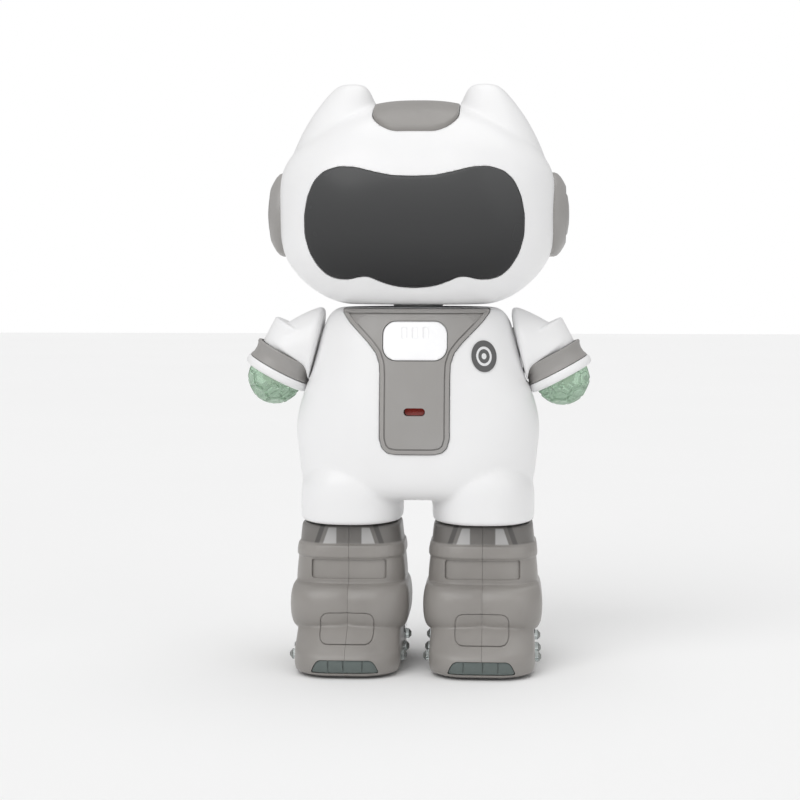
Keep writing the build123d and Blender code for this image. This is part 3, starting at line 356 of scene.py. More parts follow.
markEnamel = mouldedPlastic("markEnamel", (0.85, 0.85, 0.86), (0.8, 0.8, 0.81), 0.35)
steel = metalFinish("steel", (0.62, 0.62, 0.63), 0.28)
greenClear = clearPlastic("greenClear", (0.60, 0.82, 0.63), 0.05, 0.72, 0.01)
smokeClear = clearPlastic("smokeClear", (0.20, 0.24, 0.23), 0.14, 0.4)
studClear = clearPlastic("studClear", (0.80, 0.86, 0.85), 0.05)


def visorWithPaintedReflection(settings):  # dark gloss with a painted reflection: lighter towards the top, darker towards the chin
    material, tree, shader, coordinates = setUp("visorGlossPaintedReflection")
    split = tree.nodes.new("ShaderNodeSeparateXYZ")
    tree.links.new(coordinates.outputs["Object"], split.inputs["Vector"])
    # painted reflection: the colour runs from the dark value at the chin to the light value at the top, standing in
    # for the bright sky reflected in the gloss
    paintedReflection = spread(tree, split.outputs["Z"], 0, 1, settings["low"] * mm, settings["high"] * mm)
    drift = addNoise(tree, coordinates, 60, 2)
    shade = blendColours(tree, paintedReflection, settings["dark"], settings["light"])
    haze = spread(tree, drift.outputs["Fac"], 0, 0.06)
    tree.links.new(blendColours(tree, haze, shade, (0.05, 0.05, 0.052)), shader.inputs["Base Color"])
    tree.links.new(spread(tree, drift.outputs["Fac"], 0.22, 0.28), shader.inputs["Roughness"])
    fine = addNoise(tree, coordinates, 1500, 2)
    addBump(tree, shader, fine.outputs["Fac"], 0.015, 0.05)
    shader.inputs["Specular IOR Level"].default_value = 0.18
    return material


def bootFinish(settings):  # smoky plastic, glassy above the ankle band, with pale inner ribs showing
    material, tree, shader, coordinates = setUp("bootPlastic")
    split = tree.nodes.new("ShaderNodeSeparateXYZ")
    tree.links.new(coordinates.outputs["Object"], split.inputs["Vector"])
    drift = addNoise(tree, coordinates, 55, 2)
    body = blendColours(tree, spread(tree, drift.outputs["Fac"], 0, 1), tone(143, 4), tone(155, 4))
    above = spread(tree, split.outputs["Z"], 0, 1, settings["glassy"] * mm, (settings["glassy"] + 0.5) * mm)
    across = doSum(tree, "ABSOLUTE", split.outputs["X"])
    fromMiddle = doSum(tree, "ABSOLUTE", doSum(tree, "SUBTRACT", across, settings["x"] * mm))
    climb = doSum(tree, "SUBTRACT", split.outputs["Z"], settings["glassy"] * mm)
    lean = doSum(tree, "MULTIPLY", climb, settings["lean"])
    leaning = doSum(tree, "ADD", fromMiddle, lean)
    inner, outer, edge = settings["paleInner"], settings["paleOuter"], 0.35
    starts = spread(tree, fromMiddle, 0, 1, inner * mm, (inner + edge) * mm)
    stops = spread(tree, leaning, 1, 0, outer * mm, (outer + edge) * mm)
    under = spread(tree, split.outputs["Z"], 1, 0, settings["paleTop"] * mm, (settings["paleTop"] + edge) * mm)
    pale = doSum(tree, "MULTIPLY", doSum(tree, "MULTIPLY", starts, stops), under)
    ribStart = spread(tree, leaning, 0, 1, settings["ribInner"] * mm, (settings["ribInner"] + edge) * mm)
    ribStop = spread(tree, leaning, 1, 0, settings["ribOuter"] * mm, (settings["ribOuter"] + edge) * mm)
    glassy = blendColours(tree, spread(tree, drift.outputs["Fac"], 0, 1), tone(112, 3), tone(124, 3))
    glassy = blendColours(tree, doSum(tree, "MULTIPLY", ribStart, ribStop), glassy, tone(88, 2))
    glassy = blendColours(tree, pale, glassy, tone(186, 1))
    tree.links.new(blendColours(tree, above, body, glassy), shader.inputs["Base Color"])
    tree.links.new(spread(tree, drift.outputs["Fac"], 0.3, 0.38), shader.inputs["Roughness"])
    fine = addNoise(tree, coordinates, 2200, 4)
    addBump(tree, shader, fine.outputs["Fac"], 0.04, 0.12)
    shader.inputs["Transmission Weight"].default_value = 0.08
    shader.inputs["Subsurface Weight"].default_value = 0.1
    shader.inputs["Subsurface Radius"].default_value = (0.003, 0.0028, 0.0026)
    return material


def glowing(name, colour, glow, strength):
    material, tree, shader, coordinates = setUp(name)
    drift = addNoise(tree, coordinates, 400, 2)
    shade = tuple(channel * 0.94 for channel in colour)
    tree.links.new(blendColours(tree, drift.outputs["Fac"], shade, colour), shader.inputs["Base Color"])
    tree.links.new(spread(tree, drift.outputs["Fac"], 0.2, 0.3), shader.inputs["Roughness"])
    addBump(tree, shader, addNoise(tree, coordinates, 2000, 3).outputs["Fac"], 0.03, 0.1)
    shader.inputs["Emission Color"].default_value = (*glow, 1)
    shader.inputs["Emission Strength"].default_value = strength
    return material


# light is the painted reflection colour at the top of the visor, dark the visor's colour at the chin
visorGlossPaintedReflection = visorWithPaintedReflection({"low": 122, "high": 161, "light": (0.088, 0.089, 0.090), "dark": (0.022, 0.022, 0.023)})
bootPlastic = bootFinish({
    "x": 21.5, "glassy": 40.4, "lean": 0.35,
    "paleInner": 3.9, "paleOuter": 8.3, "paleTop": 45.6, "ribInner": 9.6, "ribOuter": 11.2})
windowWhite = glowing("windowWhite", (0.93, 0.93, 0.94), (1, 1, 1), 0.12)
lampWhite = glowing("lampWhite", (0.9, 0.9, 0.85), (1, 1, 0.9), 0.0)
redLens = glowing("redLens", (0.35, 0.03, 0.02), (0.6, 0.05, 0.03), 0.05)
boardGreen = mouldedPlastic("boardGreen", (0.02, 0.16, 0.07), (0.015, 0.12, 0.05), 0.3)


def finish(piece, material, body, slotName, *replaced):
    piece.data.materials.clear()
    piece.data.materials.append(material)
    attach(piece, body)
    if replaced:
        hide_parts(*replaced)


def makeCamera(settings):
    bpy.ops.object.camera_add(location=[v * mm for v in settings["place"]])
    camera = bpy.context.object
    camera.name = "camera"
    aim = Vector(settings["target"]) * mm - camera.location
    camera.rotation_euler = aim.to_track_quat("-Z", "Y").to_euler()
    camera.data.lens = settings["lens"]
    camera.data.sensor_width = 36
    camera.data.clip_start = 0.01
    bpy.context.scene.camera = camera


def makeLight(name, place, power):  # a wide soft light, the same strength everywhere
    bpy.ops.object.light_add(type="SUN", location=place)
    lamp = bpy.context.object
    lamp.name = name
    lamp.data.angle = math.radians(50)
    lamp.data.energy = power
    lamp.rotation_euler = (-lamp.location).to_track_quat("-Z", "Y").to_euler()


def makeFloor():
    clearSelection()
    bpy.ops.mesh.primitive_plane_add(size=6)
    floor = bpy.context.object
    floor.name = "floor"
    material, tree, shader, coordinates = setUp("paleFloor")
    noise = addNoise(tree, coordinates, 4, 2)
    colour = blendColours(tree, noise.outputs["Fac"], (0.93, 0.93, 0.93), (0.95, 0.95, 0.95))
    tree.links.new(colour, shader.inputs["Base Color"])
    shader.inputs["Roughness"].default_value = 0.8
    shader.inputs["Specular IOR Level"].default_value = 0.1
    floor.data.materials.append(material)


cameraSettings = {"place": (32, -620, 130), "target": (-6.0, 0, 85.9), "lens": 85.4}
makeCamera(cameraSettings)
makeLight("keyLight", (-0.5, -0.9, 0.9), 1.15)
makeLight("fillLight", (0.8, -0.6, 0.4), 0.3)
makeLight("topLight", (0.1, 0.2, 1.1), 0.7)
makeFloor()
world = bpy.data.worlds.new("studio")
bpy.context.scene.world = world
world.use_nodes = True
sky = world.node_tree.nodes["Background"]
sky.inputs["Color"].default_value = (1, 1, 1, 1)
seen = world.node_tree.nodes.new("ShaderNodeLightPath")
strength = world.node_tree.nodes.new("ShaderNodeMapRange")  # dimmer as a light than it looks
strength.inputs["To Min"].default_value = 0.48
strength.inputs["To Max"].default_value = 1.0
world.node_tree.links.new(seen.outputs["Is Camera Ray"], strength.inputs["Value"])
world.node_tree.links.new(strength.outputs["Result"], sky.inputs["Strength"])
bpy.context.scene.view_settings.view_transform = "Standard"
print("stage ready")


headSettings = {
    "rings": [  # height, half width, front, back
        (117.3, 21.5, -13.5, 14.5), (117.7, 24.5, -16.5, 17.5), (119.2, 29.0, -20.6, 21.6),
        (122.0, 33.8, -25.2, 26.0), (126.6, 38.9, -29.4, 29.8), (132.8, 43.2, -32.6, 32.6),
        (140.0, 44.3, -33.5, 33.6), (147.2, 44.4, -33.6, 33.8), (154.0, 44.4, -33.2, 33.4),
        (160.0, 43.9, -32.0, 32.0), (166.0, 40.2, -29.4, 29.0), (171.0, 34.4, -25.8, 25.0),
        (175.5, 28.0, -21.2, 20.4), (179.0, 20.8, -15.8, 15.0), (181.6, 12.0, -9.2, 8.6),
        (182.3, 5.0, -3.6, 3.6)],
    "ear": [  # height, half width, front, back, sideways
        (152, 16.5, -24, 22, 25.0), (159, 17.2, -24.5, 22, 25.6), (164, 16.4, -22.5, 20, 25.0),
        (169, 14.8, -18.8, 16.5, 24.6), (174, 12.8, -15, 13, 24.2), (178.5, 10.8, -11.6, 10, 23.5),
        (182.5, 8.7, -8.8, 7.4, 22.6), (186, 6.6, -6.2, 5.0, 21.9), (188.1, 4.6, -4.2, 3.2, 21.4),
        (188.6, 2.8, -2.4, 1.8, 21.2)],
    "corner": 0.74, "wall": 2.2, "seamGap": 0.12, "visorGap": 0.15, "buttonGap": 0.3,
    "speakerSlots": 5, "slotPitch": 3.6, "slotWidth": 16, "slotHeight": 1.6, "slotCorner": 0.78,
    "slotMiddle": 147.2}
visorSettings = {
    "edge": [  # right half, from the top middle round to the chin
        (0, 157.4), (7, 157.7), (13, 159.0), (18, 160.3), (23.5, 160.6), (28, 159.2), (31.2, 156.2),
        (33.3, 151.5), (34.4, 145.8), (34.3, 139.5), (32.8, 134.0), (30.2, 129.6), (27.2, 126.8), (23.8, 125.7),
        (20.2, 125.6), (16.8, 126.5), (14.2, 126.6), (11.6, 125.4), (7.6, 123.9), (3.8, 123.2), (0, 123.0)],
    "corner": 1.6, "proud": 0.25, "thick": 1.8}
buttonSettings = {
    "halfWidth": 13.6, "low": -24.6, "high": 7.6, "corner": 8.4, "proud": 0.9, "thick": 4.0}

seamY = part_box("head_front_shell")[1].y / mm
headForm = tower("headForm", headSettings["rings"], corner=headSettings["corner"])
headPlain = mould(copyOf(headForm, "headPlain"), 0.8, 20)  # the crown without its ears, for the button
earRight = tower("earForm", headSettings["ear"])
earLeft = mirrored(earRight, "earFormTwin")
headForm = mould(weld("headForm", headForm, earRight, earLeft), 0.8, 20)
print("head form ready")

visorEdge = bothSides(visorSettings["edge"])
visorPrism = outline("visorPrism", visorEdge, visorSettings["corner"], -far, 50, segments=3)
wideVisor = swell(copyOf(visorPrism, "wideVisor"), headSettings["visorGap"])
visor = skin(headForm, "visor", visorPrism, visorSettings["proud"], visorSettings["thick"],
             voxel=0.4, rounds=5)
finish(visor, visorGlossPaintedReflection, "head", "visor_gloss", "visor")

buttonEdge = box4(buttonSettings["halfWidth"], buttonSettings["low"], buttonSettings["high"])
buttonPrism = outline("buttonPrism", buttonEdge, buttonSettings["corner"], 150, far, plane="top", segments=8)
wideButton = swell(copyOf(buttonPrism, "wideButton"), headSettings["buttonGap"])
topButton = skin(headPlain, "topButton", buttonPrism, buttonSettings["proud"], buttonSettings["thick"],
                 voxel=0.45, rounds=5)
finish(topButton, capPlastic, "top_button", "grey_trim", "top_button")

headShell = copyOf(headForm, "headFront")
headCore = swell(copyOf(headForm, "headCore"), -headSettings["wall"])
boolean(headShell, headCore)
boolean(headShell, wideButton)
headRear = copyOf(headShell, "headRear")
boolean(headShell, wideVisor)
frontEnd, rearStart = seamY - headSettings["seamGap"], seamY + headSettings["seamGap"]
boolean(headShell, block("frontHalf", (-far, frontEnd, 100), (far, far, 200)))
boolean(headRear, block("rearHalf", (-far, -far, 100), (far, rearStart, 200)))
slots = headSettings["speakerSlots"]
for step in range(slots):
    middle = headSettings["slotMiddle"] + (step - (slots - 1) / 2) * headSettings["slotPitch"]
    half = headSettings["slotHeight"] / 2
    slotEdge = box4(headSettings["slotWidth"] / 2, middle - half, middle + half)
    boolean(headRear, outline("slot", slotEdge, headSettings["slotCorner"], 20, 30))
finish(headShell, whitePlastic, "head", "white_shell", "head_front_shell")
finish(headRear, whitePlastic, "head", "white_shell", "head_rear_shell")
discard(headForm, headPlain)
print("head ready")


coverSettings = {"profile": [  # distance from the middle, distance out from the seat
    (13.2, 0), (13.6, 1.2), (13.6, 3.6), (13.2, 4.6), (12.2, 5.6), (10.6, 6.6), (9.2, 7.3),
    (8.6, 7.2), (8.0, 6.9), (7.6, 7.0), (6.0, 7.9), (3.0, 8.35), (0.6, 8.45)]}


def turnedDisc(name, profile, middle, side):  # side 1 and -1 face outwards, 0 faces up
    clearSelection()
    bpy.ops.mesh.primitive_circle_add(vertices=72, radius=1, fill_type="NGON")
    piece = bpy.context.object
    piece.name = name
    bpy.ops.object.mode_set(mode="EDIT")
    radius, height = 1.0, 0.0
    for index, (newRadius, newHeight) in enumerate(profile):
        move = (0, 0, (newHeight - height) * mm)
        if index:
            bpy.ops.mesh.extrude_region_move(TRANSFORM_OT_translate={"value": move})
        share = newRadius * mm / radius
        bpy.ops.transform.resize(value=(share, share, 1), center_override=(0, 0, newHeight * mm))
        radius, height = newRadius * mm, newHeight
    bpy.ops.object.mode_set(mode="OBJECT")
    piece.rotation_euler = (0, side * math.pi / 2, 0)
    piece.location = middle
    settle(piece)
    faceOutwards(piece)
    smoothUpTo(piece, 40)
    return piece


for side, word in ((1, "left"), (-1, "right")):
    low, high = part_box("side_cover_" + word)
    seat = low.x if side > 0 else high.x
    middle = (seat, (low.y + high.y) / 2, (low.z + high.z) / 2)
    cover = turnedDisc("sideCover" + word.title(), coverSettings["profile"], middle, side)
    finish(cover, coverPlastic, "head", "grey_trim", "side_cover_" + word)
print("side covers ready")


torsoSettings = {
    "rings": [
        (54.0, 31.0, -16.5, 16.5), (56.6, 35.8, -20.9, 20.6), (60.0, 37.8, -22.9, 22.5),
        (64.0, 38.5, -23.9, 23.4), (69.8, 39.0, -24.7, 24.0), (75.5, 39.7, -24.9, 24.1),
        (80.0, 39.7, -24.8, 24.1), (85.3, 38.5, -24.2, 23.6), (92.5, 36.0, -22.9, 22.6),
        (99.0, 34.0, -21.7, 21.5), (105.9, 32.2, -20.5, 20.4), (111.5, 30.3, -19.0, 18.8),
        (114.6, 28.6, -17.9, 17.6), (116.3, 26.2, -16.9, 16.4), (116.7, 23.5, -15.0, 14.6)],
    "corner": 0.86, "legX": 21.5,
    "opening": [(40, 14.6, -19.2, 18.7), (50, 14.8, -19.4, 19.0), (54, 13.6, -17.5, 17.5)],
    "leg": [(46.9, 16.5, -21.1, 20.6), (47.3, 16.6, -21.3, 20.8), (52.0, 16.7, -21.7, 21.3),
            (56.0, 16.7, -22.3, 21.9), (60.0, 16.3, -22.6, 22.2), (64.0, 14.8, -21.0, 20.8), (67.0, 12.0, -17, 17)],
    "wall": 2.0, "seamGap": 0.12, "shoulder": (31.635, 0, 105.9), "shoulderTilt": 15,
    "shoulderRadius": 15.4, "seatDepth": 20}
panelSettings = {
    "edge": [
        (0, 116.2), (23.6, 116.2), (23.4, 115.0), (21.0, 111.8), (14.6, 105.2), (12.3, 102.2), (11.2, 98.8),
        (11.0, 95.0), (11.0, 75.2), (10.2, 72.4), (8.6, 70.9), (6.0, 70.4), (0, 70.4)],
    "corner": 0.9, "proud": 0.75, "thick": 2.2, "lip": 1.3, "lipWidth": 0.45, "lipDepth": 0.55, "gap": 0.22}
windowSettings = {
    "halfWidth": 10.2, "low": 99.9, "high": 112.3, "corner": 4.2, "proud": 0.45, "thick": 1.5, "gap": 0.25,
    "bars": (-3.4, 0, 3.4), "barHalf": 0.9, "barLow": 106.8, "barHigh": 110.4, "barCorner": 0.5, "barDepth": 0.18}
sensorSettings = {
    "halfWidth": 3.4, "height": 83.8, "high": 1.25, "corner": 1.2,
    "lipHalf": 4.85, "lipHigh": 2.5, "lipCorner": 2.4, "lipRise": 0.3, "lipThick": 1.2, "lipGap": 0.2}
doorSettings = {
    "halfWidth": 25.6, "low": 64.5, "high": 106.5, "corner": 3, "gap": 0.25, "proud": 0.1, "thick": 2.0,
    "grips": 3, "gripPitch": 2.6, "gripHigh": 98.5, "gripHalf": 7.5, "gripRise": 0.6, "gripCorner": 0.55}
badgeSettings = {
    "x": 21.8, "z": 101.2, "halfWidth": 3.95, "halfHeight": 5.05, "tilt": 10, "proud": 0.45, "thick": 1.2,
    "ringOuter": 0.62, "ringInner": 0.44, "dot": 0.2, "markProud": 0.1, "markThick": 0.8}


def ellipsePrism(name, settings, share, start, length):  # share is its size against the badge's
    clearSelection()
    bpy.ops.mesh.primitive_cylinder_add(vertices=48, radius=1, depth=1)
    piece = bpy.context.object
    piece.name = name
    piece.scale = (settings["halfWidth"] * share * mm, settings["halfHeight"] * share * mm, length * mm)
    settle(piece)
    piece.rotation_euler = (math.pi / 2, 0, 0)
    settle(piece)
    piece.rotation_euler = (0, -math.radians(settings["tilt"]), 0)
    piece.location = (settings["x"] * mm, (start + length / 2) * mm, settings["z"] * mm)
    return settle(piece)


torsoCorner, legX = torsoSettings["corner"], torsoSettings["legX"]
torsoForm = tower("torsoForm", torsoSettings["rings"], corner=torsoCorner)
legLeft = tower("legForm", torsoSettings["leg"], corner=torsoCorner, centreX=legX)
legRight = mirrored(legLeft, "legFormTwin")
torsoForm = mould(weld("torsoForm", torsoForm, legLeft, legRight), 0.7, 14)
shoulderRadius, seatDepth = torsoSettings["shoulderRadius"], torsoSettings["seatDepth"]
for side in (1, -1):  # flat seats where the arms turn
    seat = Vector(torsoSettings["shoulder"])
    clearSelection()
    bpy.ops.mesh.primitive_cylinder_add(vertices=64, radius=shoulderRadius * mm, depth=seatDepth * mm)
    tool = bpy.context.object
    tilt = math.radians(90 - torsoSettings["shoulderTilt"])
    axis = Vector((math.sin(tilt), 0, math.cos(tilt)))
    tool.rotation_euler = (0, side * tilt, 0)
    spot = seat + axis * seatDepth / 2
    tool.location = Vector((side * spot.x, spot.y, spot.z)) * mm
    settle(tool)
    boolean(torsoForm, tool)
print("torso form ready")

panelEdge, panelCorner = bothSides(panelSettings["edge"]), panelSettings["corner"]
panelProud, lip = panelSettings["proud"], panelSettings["lip"]
grooveProud = panelProud - panelSettings["lipDepth"]
panelPrism = outline("panelPrism", panelEdge, panelCorner, *frontCut, segments=3)
widePanel = swell(copyOf(panelPrism, "widePanel"), panelSettings["gap"])
chestPanel = skin(torsoForm, "chestPanel", panelPrism, panelProud, panelSettings["thick"], voxel=0.42, rounds=2)
groove = outline("groove", panelEdge, panelCorner, *frontCut, segments=3)
grooveInner = swell(copyOf(groove, "grooveInner"), -lip - panelSettings["lipWidth"], even=True)
grooveInner.location.y = -0.01
boolean(swell(groove, -lip, even=True), settle(grooveInner))
boolean(groove, swell(copyOf(torsoForm, "grooveFloor"), grooveProud))
boolean(chestPanel, groove)
windowEdge = box4(windowSettings["halfWidth"], windowSettings["low"], windowSettings["high"])
windowPrism = outline("windowPrism", windowEdge, windowSettings["corner"], *frontCut, segments=8)
wideWindow = swell(copyOf(windowPrism, "wideWindow"), windowSettings["gap"])
boolean(chestPanel, wideWindow)
sensorZ, sensorHalf, lipGap = sensorSettings["height"], sensorSettings["halfWidth"], sensorSettings["lipGap"]
sensorLow, sensorHigh = sensorZ - sensorSettings["high"], sensorZ + sensorSettings["high"]
sensorEdge = box4(sensorHalf, sensorLow, sensorHigh)
boolean(chestPanel, outline("sensorHole", sensorEdge, sensorSettings["corner"], *frontCut, segments=6))
smoothUpTo(chestPanel, 35)

lipEdge = box4(sensorSettings["lipHalf"], sensorZ - sensorSettings["lipHigh"], sensorZ + sensorSettings["lipHigh"])
lipPrism = outline("lipPrism", lipEdge, sensorSettings["lipCorner"], *frontCut, segments=8)
sensorLip = skin(torsoForm, "sensorLip", lipPrism, grooveProud + sensorSettings["lipRise"],
                 sensorSettings["lipThick"], voxel=0.25, rounds=4)
holeEdge = box4(sensorHalf + lipGap, sensorLow - lipGap, sensorHigh + lipGap)
boolean(sensorLip, outline("lipHole", holeEdge, sensorSettings["corner"] + lipGap, *frontCut, segments=6))
finish(sensorLip, greyPlastic, "torso", "grey_trim")
finish(chestPanel, greyPlastic, "torso", "grey_trim", "chest_panel")

windowProud = windowSettings["proud"]
chestWindow = skin(torsoForm, "chestWindow", windowPrism, windowProud, windowSettings["thick"], voxel=0.35, rounds=4)
for bar in windowSettings["bars"]:
    barEdge = box4(windowSettings["barHalf"], windowSettings["barLow"], windowSettings["barHigh"], bar)
    tool = outline("barTool", barEdge, windowSettings["barCorner"], *frontCut, segments=3)
    boolean(tool, swell(copyOf(torsoForm, "barFloor"), windowProud - windowSettings["barDepth"]))
    boolean(chestWindow, tool)
finish(chestWindow, windowWhite, "torso", "light_window", "chest_window")

badgePrism = ellipsePrism("badgePrism", badgeSettings, 1, *frontCut)
badge = skin(torsoForm, "badge", badgePrism, badgeSettings["proud"], badgeSettings["thick"], voxel=0.2, rounds=3)
finish(badge, badgeEnamel, "torso", "badge", "chest_badge")
ring = ellipsePrism("ringOuter", badgeSettings, badgeSettings["ringOuter"], *frontCut)
boolean(ring, ellipsePrism("ringInner", badgeSettings, badgeSettings["ringInner"], -62, 60))
dot = ellipsePrism("dotTool", badgeSettings, badgeSettings["dot"], *frontCut)
for name, prism in (("badgeMark", ring), ("badgeDot", dot)):
    mark = skin(torsoForm, name, prism, badgeSettings["proud"] + badgeSettings["markProud"],
                badgeSettings["markThick"], voxel=0.16, rounds=1)
    finish(mark, markEnamel, "torso", "badge")
print("chest ready")

doorEdge = box4(doorSettings["halfWidth"], doorSettings["low"], doorSettings["high"])
doorPrism = outline("doorPrism", doorEdge, doorSettings["corner"], 8, 50, segments=6)
wideDoor = swell(copyOf(doorPrism, "wideDoor"), doorSettings["gap"])
batteryDoor = skin(torsoForm, "batteryDoor", doorPrism, doorSettings["proud"], doorSettings["thick"],
                   voxel=0.45, rounds=2)
gripRise = doorSettings["gripRise"]
for step in range(doorSettings["grips"]):
    z = doorSettings["gripHigh"] - step * doorSettings["gripPitch"]
    gripEdge = box4(doorSettings["gripHalf"], z - gripRise, z + gripRise)
    tool = outline("gripTool", gripEdge, doorSettings["gripCorner"], 8, 50)
    boolean(tool, swell(copyOf(torsoForm, "gripFloor"), doorSettings["proud"] - gripRise))
    boolean(batteryDoor, tool)
finish(batteryDoor, whitePlastic, "battery_door", "white_shell", "battery_door")

torsoFront = copyOf(torsoForm, "torsoFront")
torsoCore = swell(copyOf(torsoForm, "torsoCore"), -torsoSettings["wall"])
boolean(torsoFront, torsoCore)
hemLeft = tower("hemOpening", torsoSettings["opening"], torsoCorner, legX, smooth=0)
hemRight = mirrored(hemLeft, "hemOpeningTwin")
boolean(torsoFront, hemLeft)
boolean(torsoFront, hemRight)
torsoRear = copyOf(torsoFront, "torsoRear")
torsoSeam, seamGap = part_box("torso_front_shell")[1].y / mm, torsoSettings["seamGap"]
boolean(torsoFront, widePanel)
boolean(torsoFront, block("frontHalf", (-far, torsoSeam - seamGap, 30), (far, far, 130)))
boolean(torsoRear, wideDoor)
switchLow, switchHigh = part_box("switch_knob")
switchEdge = box4(5, switchLow.z / mm - 0.3, switchHigh.z / mm + 0.3)
boolean(torsoRear, outline("switchTool", switchEdge, 0.6, 10, 30))
boolean(torsoRear, block("rearHalf", (-far, -far, 30), (far, torsoSeam + seamGap, 130)))
finish(torsoFront, whitePlastic, "torso", "white_shell", "torso_front_shell")
finish(torsoRear, whitePlastic, "torso", "white_shell", "torso_rear_shell")
discard(torsoForm)
print("torso ready")


armSettings = {
    "sections": [  # outer edge x and z, inner edge x and z, half depth
        (28.4, 117.4, 36.8, 88.0, 11.0), (33.4, 116.2, 36.2, 90.2, 11.2), (38.4, 113.9, 35.6, 92.2, 11.1),
        (43.4, 111.1, 35.0, 93.8, 10.8), (48.0, 108.2, 34.5, 95.2, 10.4), (51.9, 105.9, 34.1, 96.4, 10.1)],
    "cuffTilt": 28, "cuffTop": (43.0, 101.1), "shoulderOffset": 58.06,
    "core": [(9.0, -8.0), (9.0, 1.0), (8.0, 1.2)],  # radius and distance along the arm
    "band": [  # distance along the arm and radius
        (0.2, 9.6), (0.1, 10.45), (-0.5, 10.6), (-1.2, 10.2), (-2.6, 9.95), (-4.2, 10.1), (-5.0, 10.5),
        (-5.5, 10.6), (-5.6, 9.8)],
    "rim": [
        (-5.7, 9.6), (-5.75, 10.75), (-6.3, 11.05), (-7.6, 11.05), (-8.3, 10.75), (-8.6, 10.1), (-8.6, 8.6),
        (-7.0, 8.4)],
    "handMiddle": -8.5, "handRadius": 9.1, "handTop": 0.2,
    "facetSlope": (0.32, 0.42), "facetRim": (0.5, 0.18)}  # inset and height of each step of a facet


def turnSection(degrees, spot):
    turn = math.radians(degrees)
    bpy.ops.transform.rotate(value=turn, orient_axis="Y", orient_type="GLOBAL", center_override=spot)


def sleeveForm(settings):
    # a round section is carried along the arm, turning at each step
    clearSelection()
    bpy.ops.mesh.primitive_circle_add(vertices=48, radius=1, fill_type="NGON")
    piece = bpy.context.object
    piece.name = "sleeveForm"
    bpy.ops.object.mode_set(mode="EDIT")
    spot, turn, length, depth = Vector((0, 0, 0)), 0.0, 1.0, 1.0
    for index, (outX, outZ, inX, inZ, newDepth) in enumerate(settings["sections"]):
        newSpot = Vector((outX + inX, 0, outZ + inZ)) / 2 * mm
        newLength = math.hypot(outX - inX, outZ - inZ) / 2
        newTurn = math.degrees(math.atan2(outZ - inZ, outX - inX))
        if index:
            bpy.ops.mesh.extrude_region_move(TRANSFORM_OT_translate={"value": newSpot - spot})
        else:
            bpy.ops.transform.translate(value=newSpot - spot)
        if turn:
            turnSection(-turn, newSpot)
        share = (newLength * mm / length, newDepth * mm / depth, 1)
        bpy.ops.transform.resize(value=share, center_override=newSpot)
        turnSection(newTurn, newSpot)
        spot, turn, length, depth = newSpot, newTurn, newLength * mm, newDepth * mm
    bpy.ops.object.mode_set(mode="OBJECT")
    faceOutwards(piece)
    return piece


def turnedRing(name, profile):  # the profile is swept round the arm's own line
    piece = cornerWalk(name, [Vector((radius, 0, along)) * mm for along, radius in profile])
    bpy.ops.mesh.delete(type="ONLY_FACE")
    bpy.ops.mesh.select_all(action="SELECT")
    bpy.ops.mesh.spin(steps=72, angle=math.tau, center=(0, 0, 0), axis=(0, 0, 1))
    bpy.ops.object.mode_set(mode="OBJECT")
    settle(piece)
    return faceOutwards(piece)


def onArm(piece, settings):
    piece.rotation_euler = (0, -math.radians(settings["cuffTilt"]), 0)
    piece.location = (settings["cuffTop"][0] * mm, 0, settings["cuffTop"][1] * mm)
    return settle(piece)


def facetedHand(settings):
    # a football of flat facets with a groove along every edge, its upper part inside the cuff
    clearSelection()
    bpy.ops.mesh.primitive_ico_sphere_add(subdivisions=1, radius=settings["handRadius"] * mm)
    piece = bpy.context.object
    piece.name = "handForm"
    bpy.ops.object.mode_set(mode="EDIT")
    edge = settings["handRadius"] * mm * 1.0515  # an icosahedron's edge against its radius
    bpy.ops.mesh.bevel(offset=edge / 3, affect="VERTICES", segments=1)
    bpy.ops.mesh.select_all(action="SELECT")
    bpy.ops.mesh.remove_doubles(threshold=0.00002)
    bpy.context.tool_settings.mesh_select_mode = (False, False, True)
    bpy.ops.mesh.select_all(action="SELECT")
    for inset, height in (settings["facetSlope"], settings["facetRim"]):
        bpy.ops.mesh.inset(use_individual=True, thickness=inset * mm, depth=height * mm)
    bpy.ops.mesh.select_all(action="SELECT")
    top = (0, 0, settings["handTop"] * mm)
    bpy.ops.mesh.bisect(plane_co=top, plane_no=(0, 0, 1), clear_outer=True, use_fill=True)
    bpy.ops.object.mode_set(mode="OBJECT")
    size = max(v.co.length for v in piece.data.vertices)
    share = settings["handRadius"] * mm / size
    piece.scale = (share, share, share)
    piece.location = (0, 0, settings["handMiddle"] * mm)
    settle(piece)
    return onArm(faceOutwards(piece), settings)


sleeve = sleeveForm(armSettings)
useModifier(sleeve, "SUBSURF", levels=2, render_levels=2)
core = onArm(turnedDisc("sleeveCore", armSettings["core"], (0, 0, 0), 0), armSettings)
boolean(sleeve, core, "UNION")
sleeveCut = block("sleeveCut", (-far, -40, -far), (0, 40, far))
shoulderTilt = math.radians(torsoSettings["shoulderTilt"])
sleeveCut.rotation_euler = (0, -shoulderTilt, 0)
cutNormal = Vector((math.cos(shoulderTilt), 0, math.sin(shoulderTilt)))
sleeveCut.location = cutNormal * armSettings["shoulderOffset"] * mm
settle(sleeveCut)
mould(sleeve, 0.45, 4)
boolean(sleeve, sleeveCut)
rim = onArm(turnedRing("rim", armSettings["rim"]), armSettings)
band = onArm(turnedRing("band", armSettings["band"]), armSettings)
for piece in (sleeve, rim, band):
    smoothUpTo(piece, 50)
hand = facetedHand(armSettings)

for side, word in ((1, "left"), (-1, "right")):
    body = "arm_" + word
    for form, material, slotName, node in (
            (sleeve, whitePlastic, "white_shell", "sleeve_"), (rim, whitePlastic, "white_shell", None),
            (band, greyPlastic, "grey_trim", "cuff_band_"), (hand, greenClear, "clear_green", "hand_")):
        title = form.name.split("Form")[0] + word.title()
        piece = copyOf(form, title) if side > 0 else mirrored(form, title)
        finish(piece, material, body, slotName, *([node + word] if node else []))
discard(sleeve, rim, band, hand)
print("arms ready")


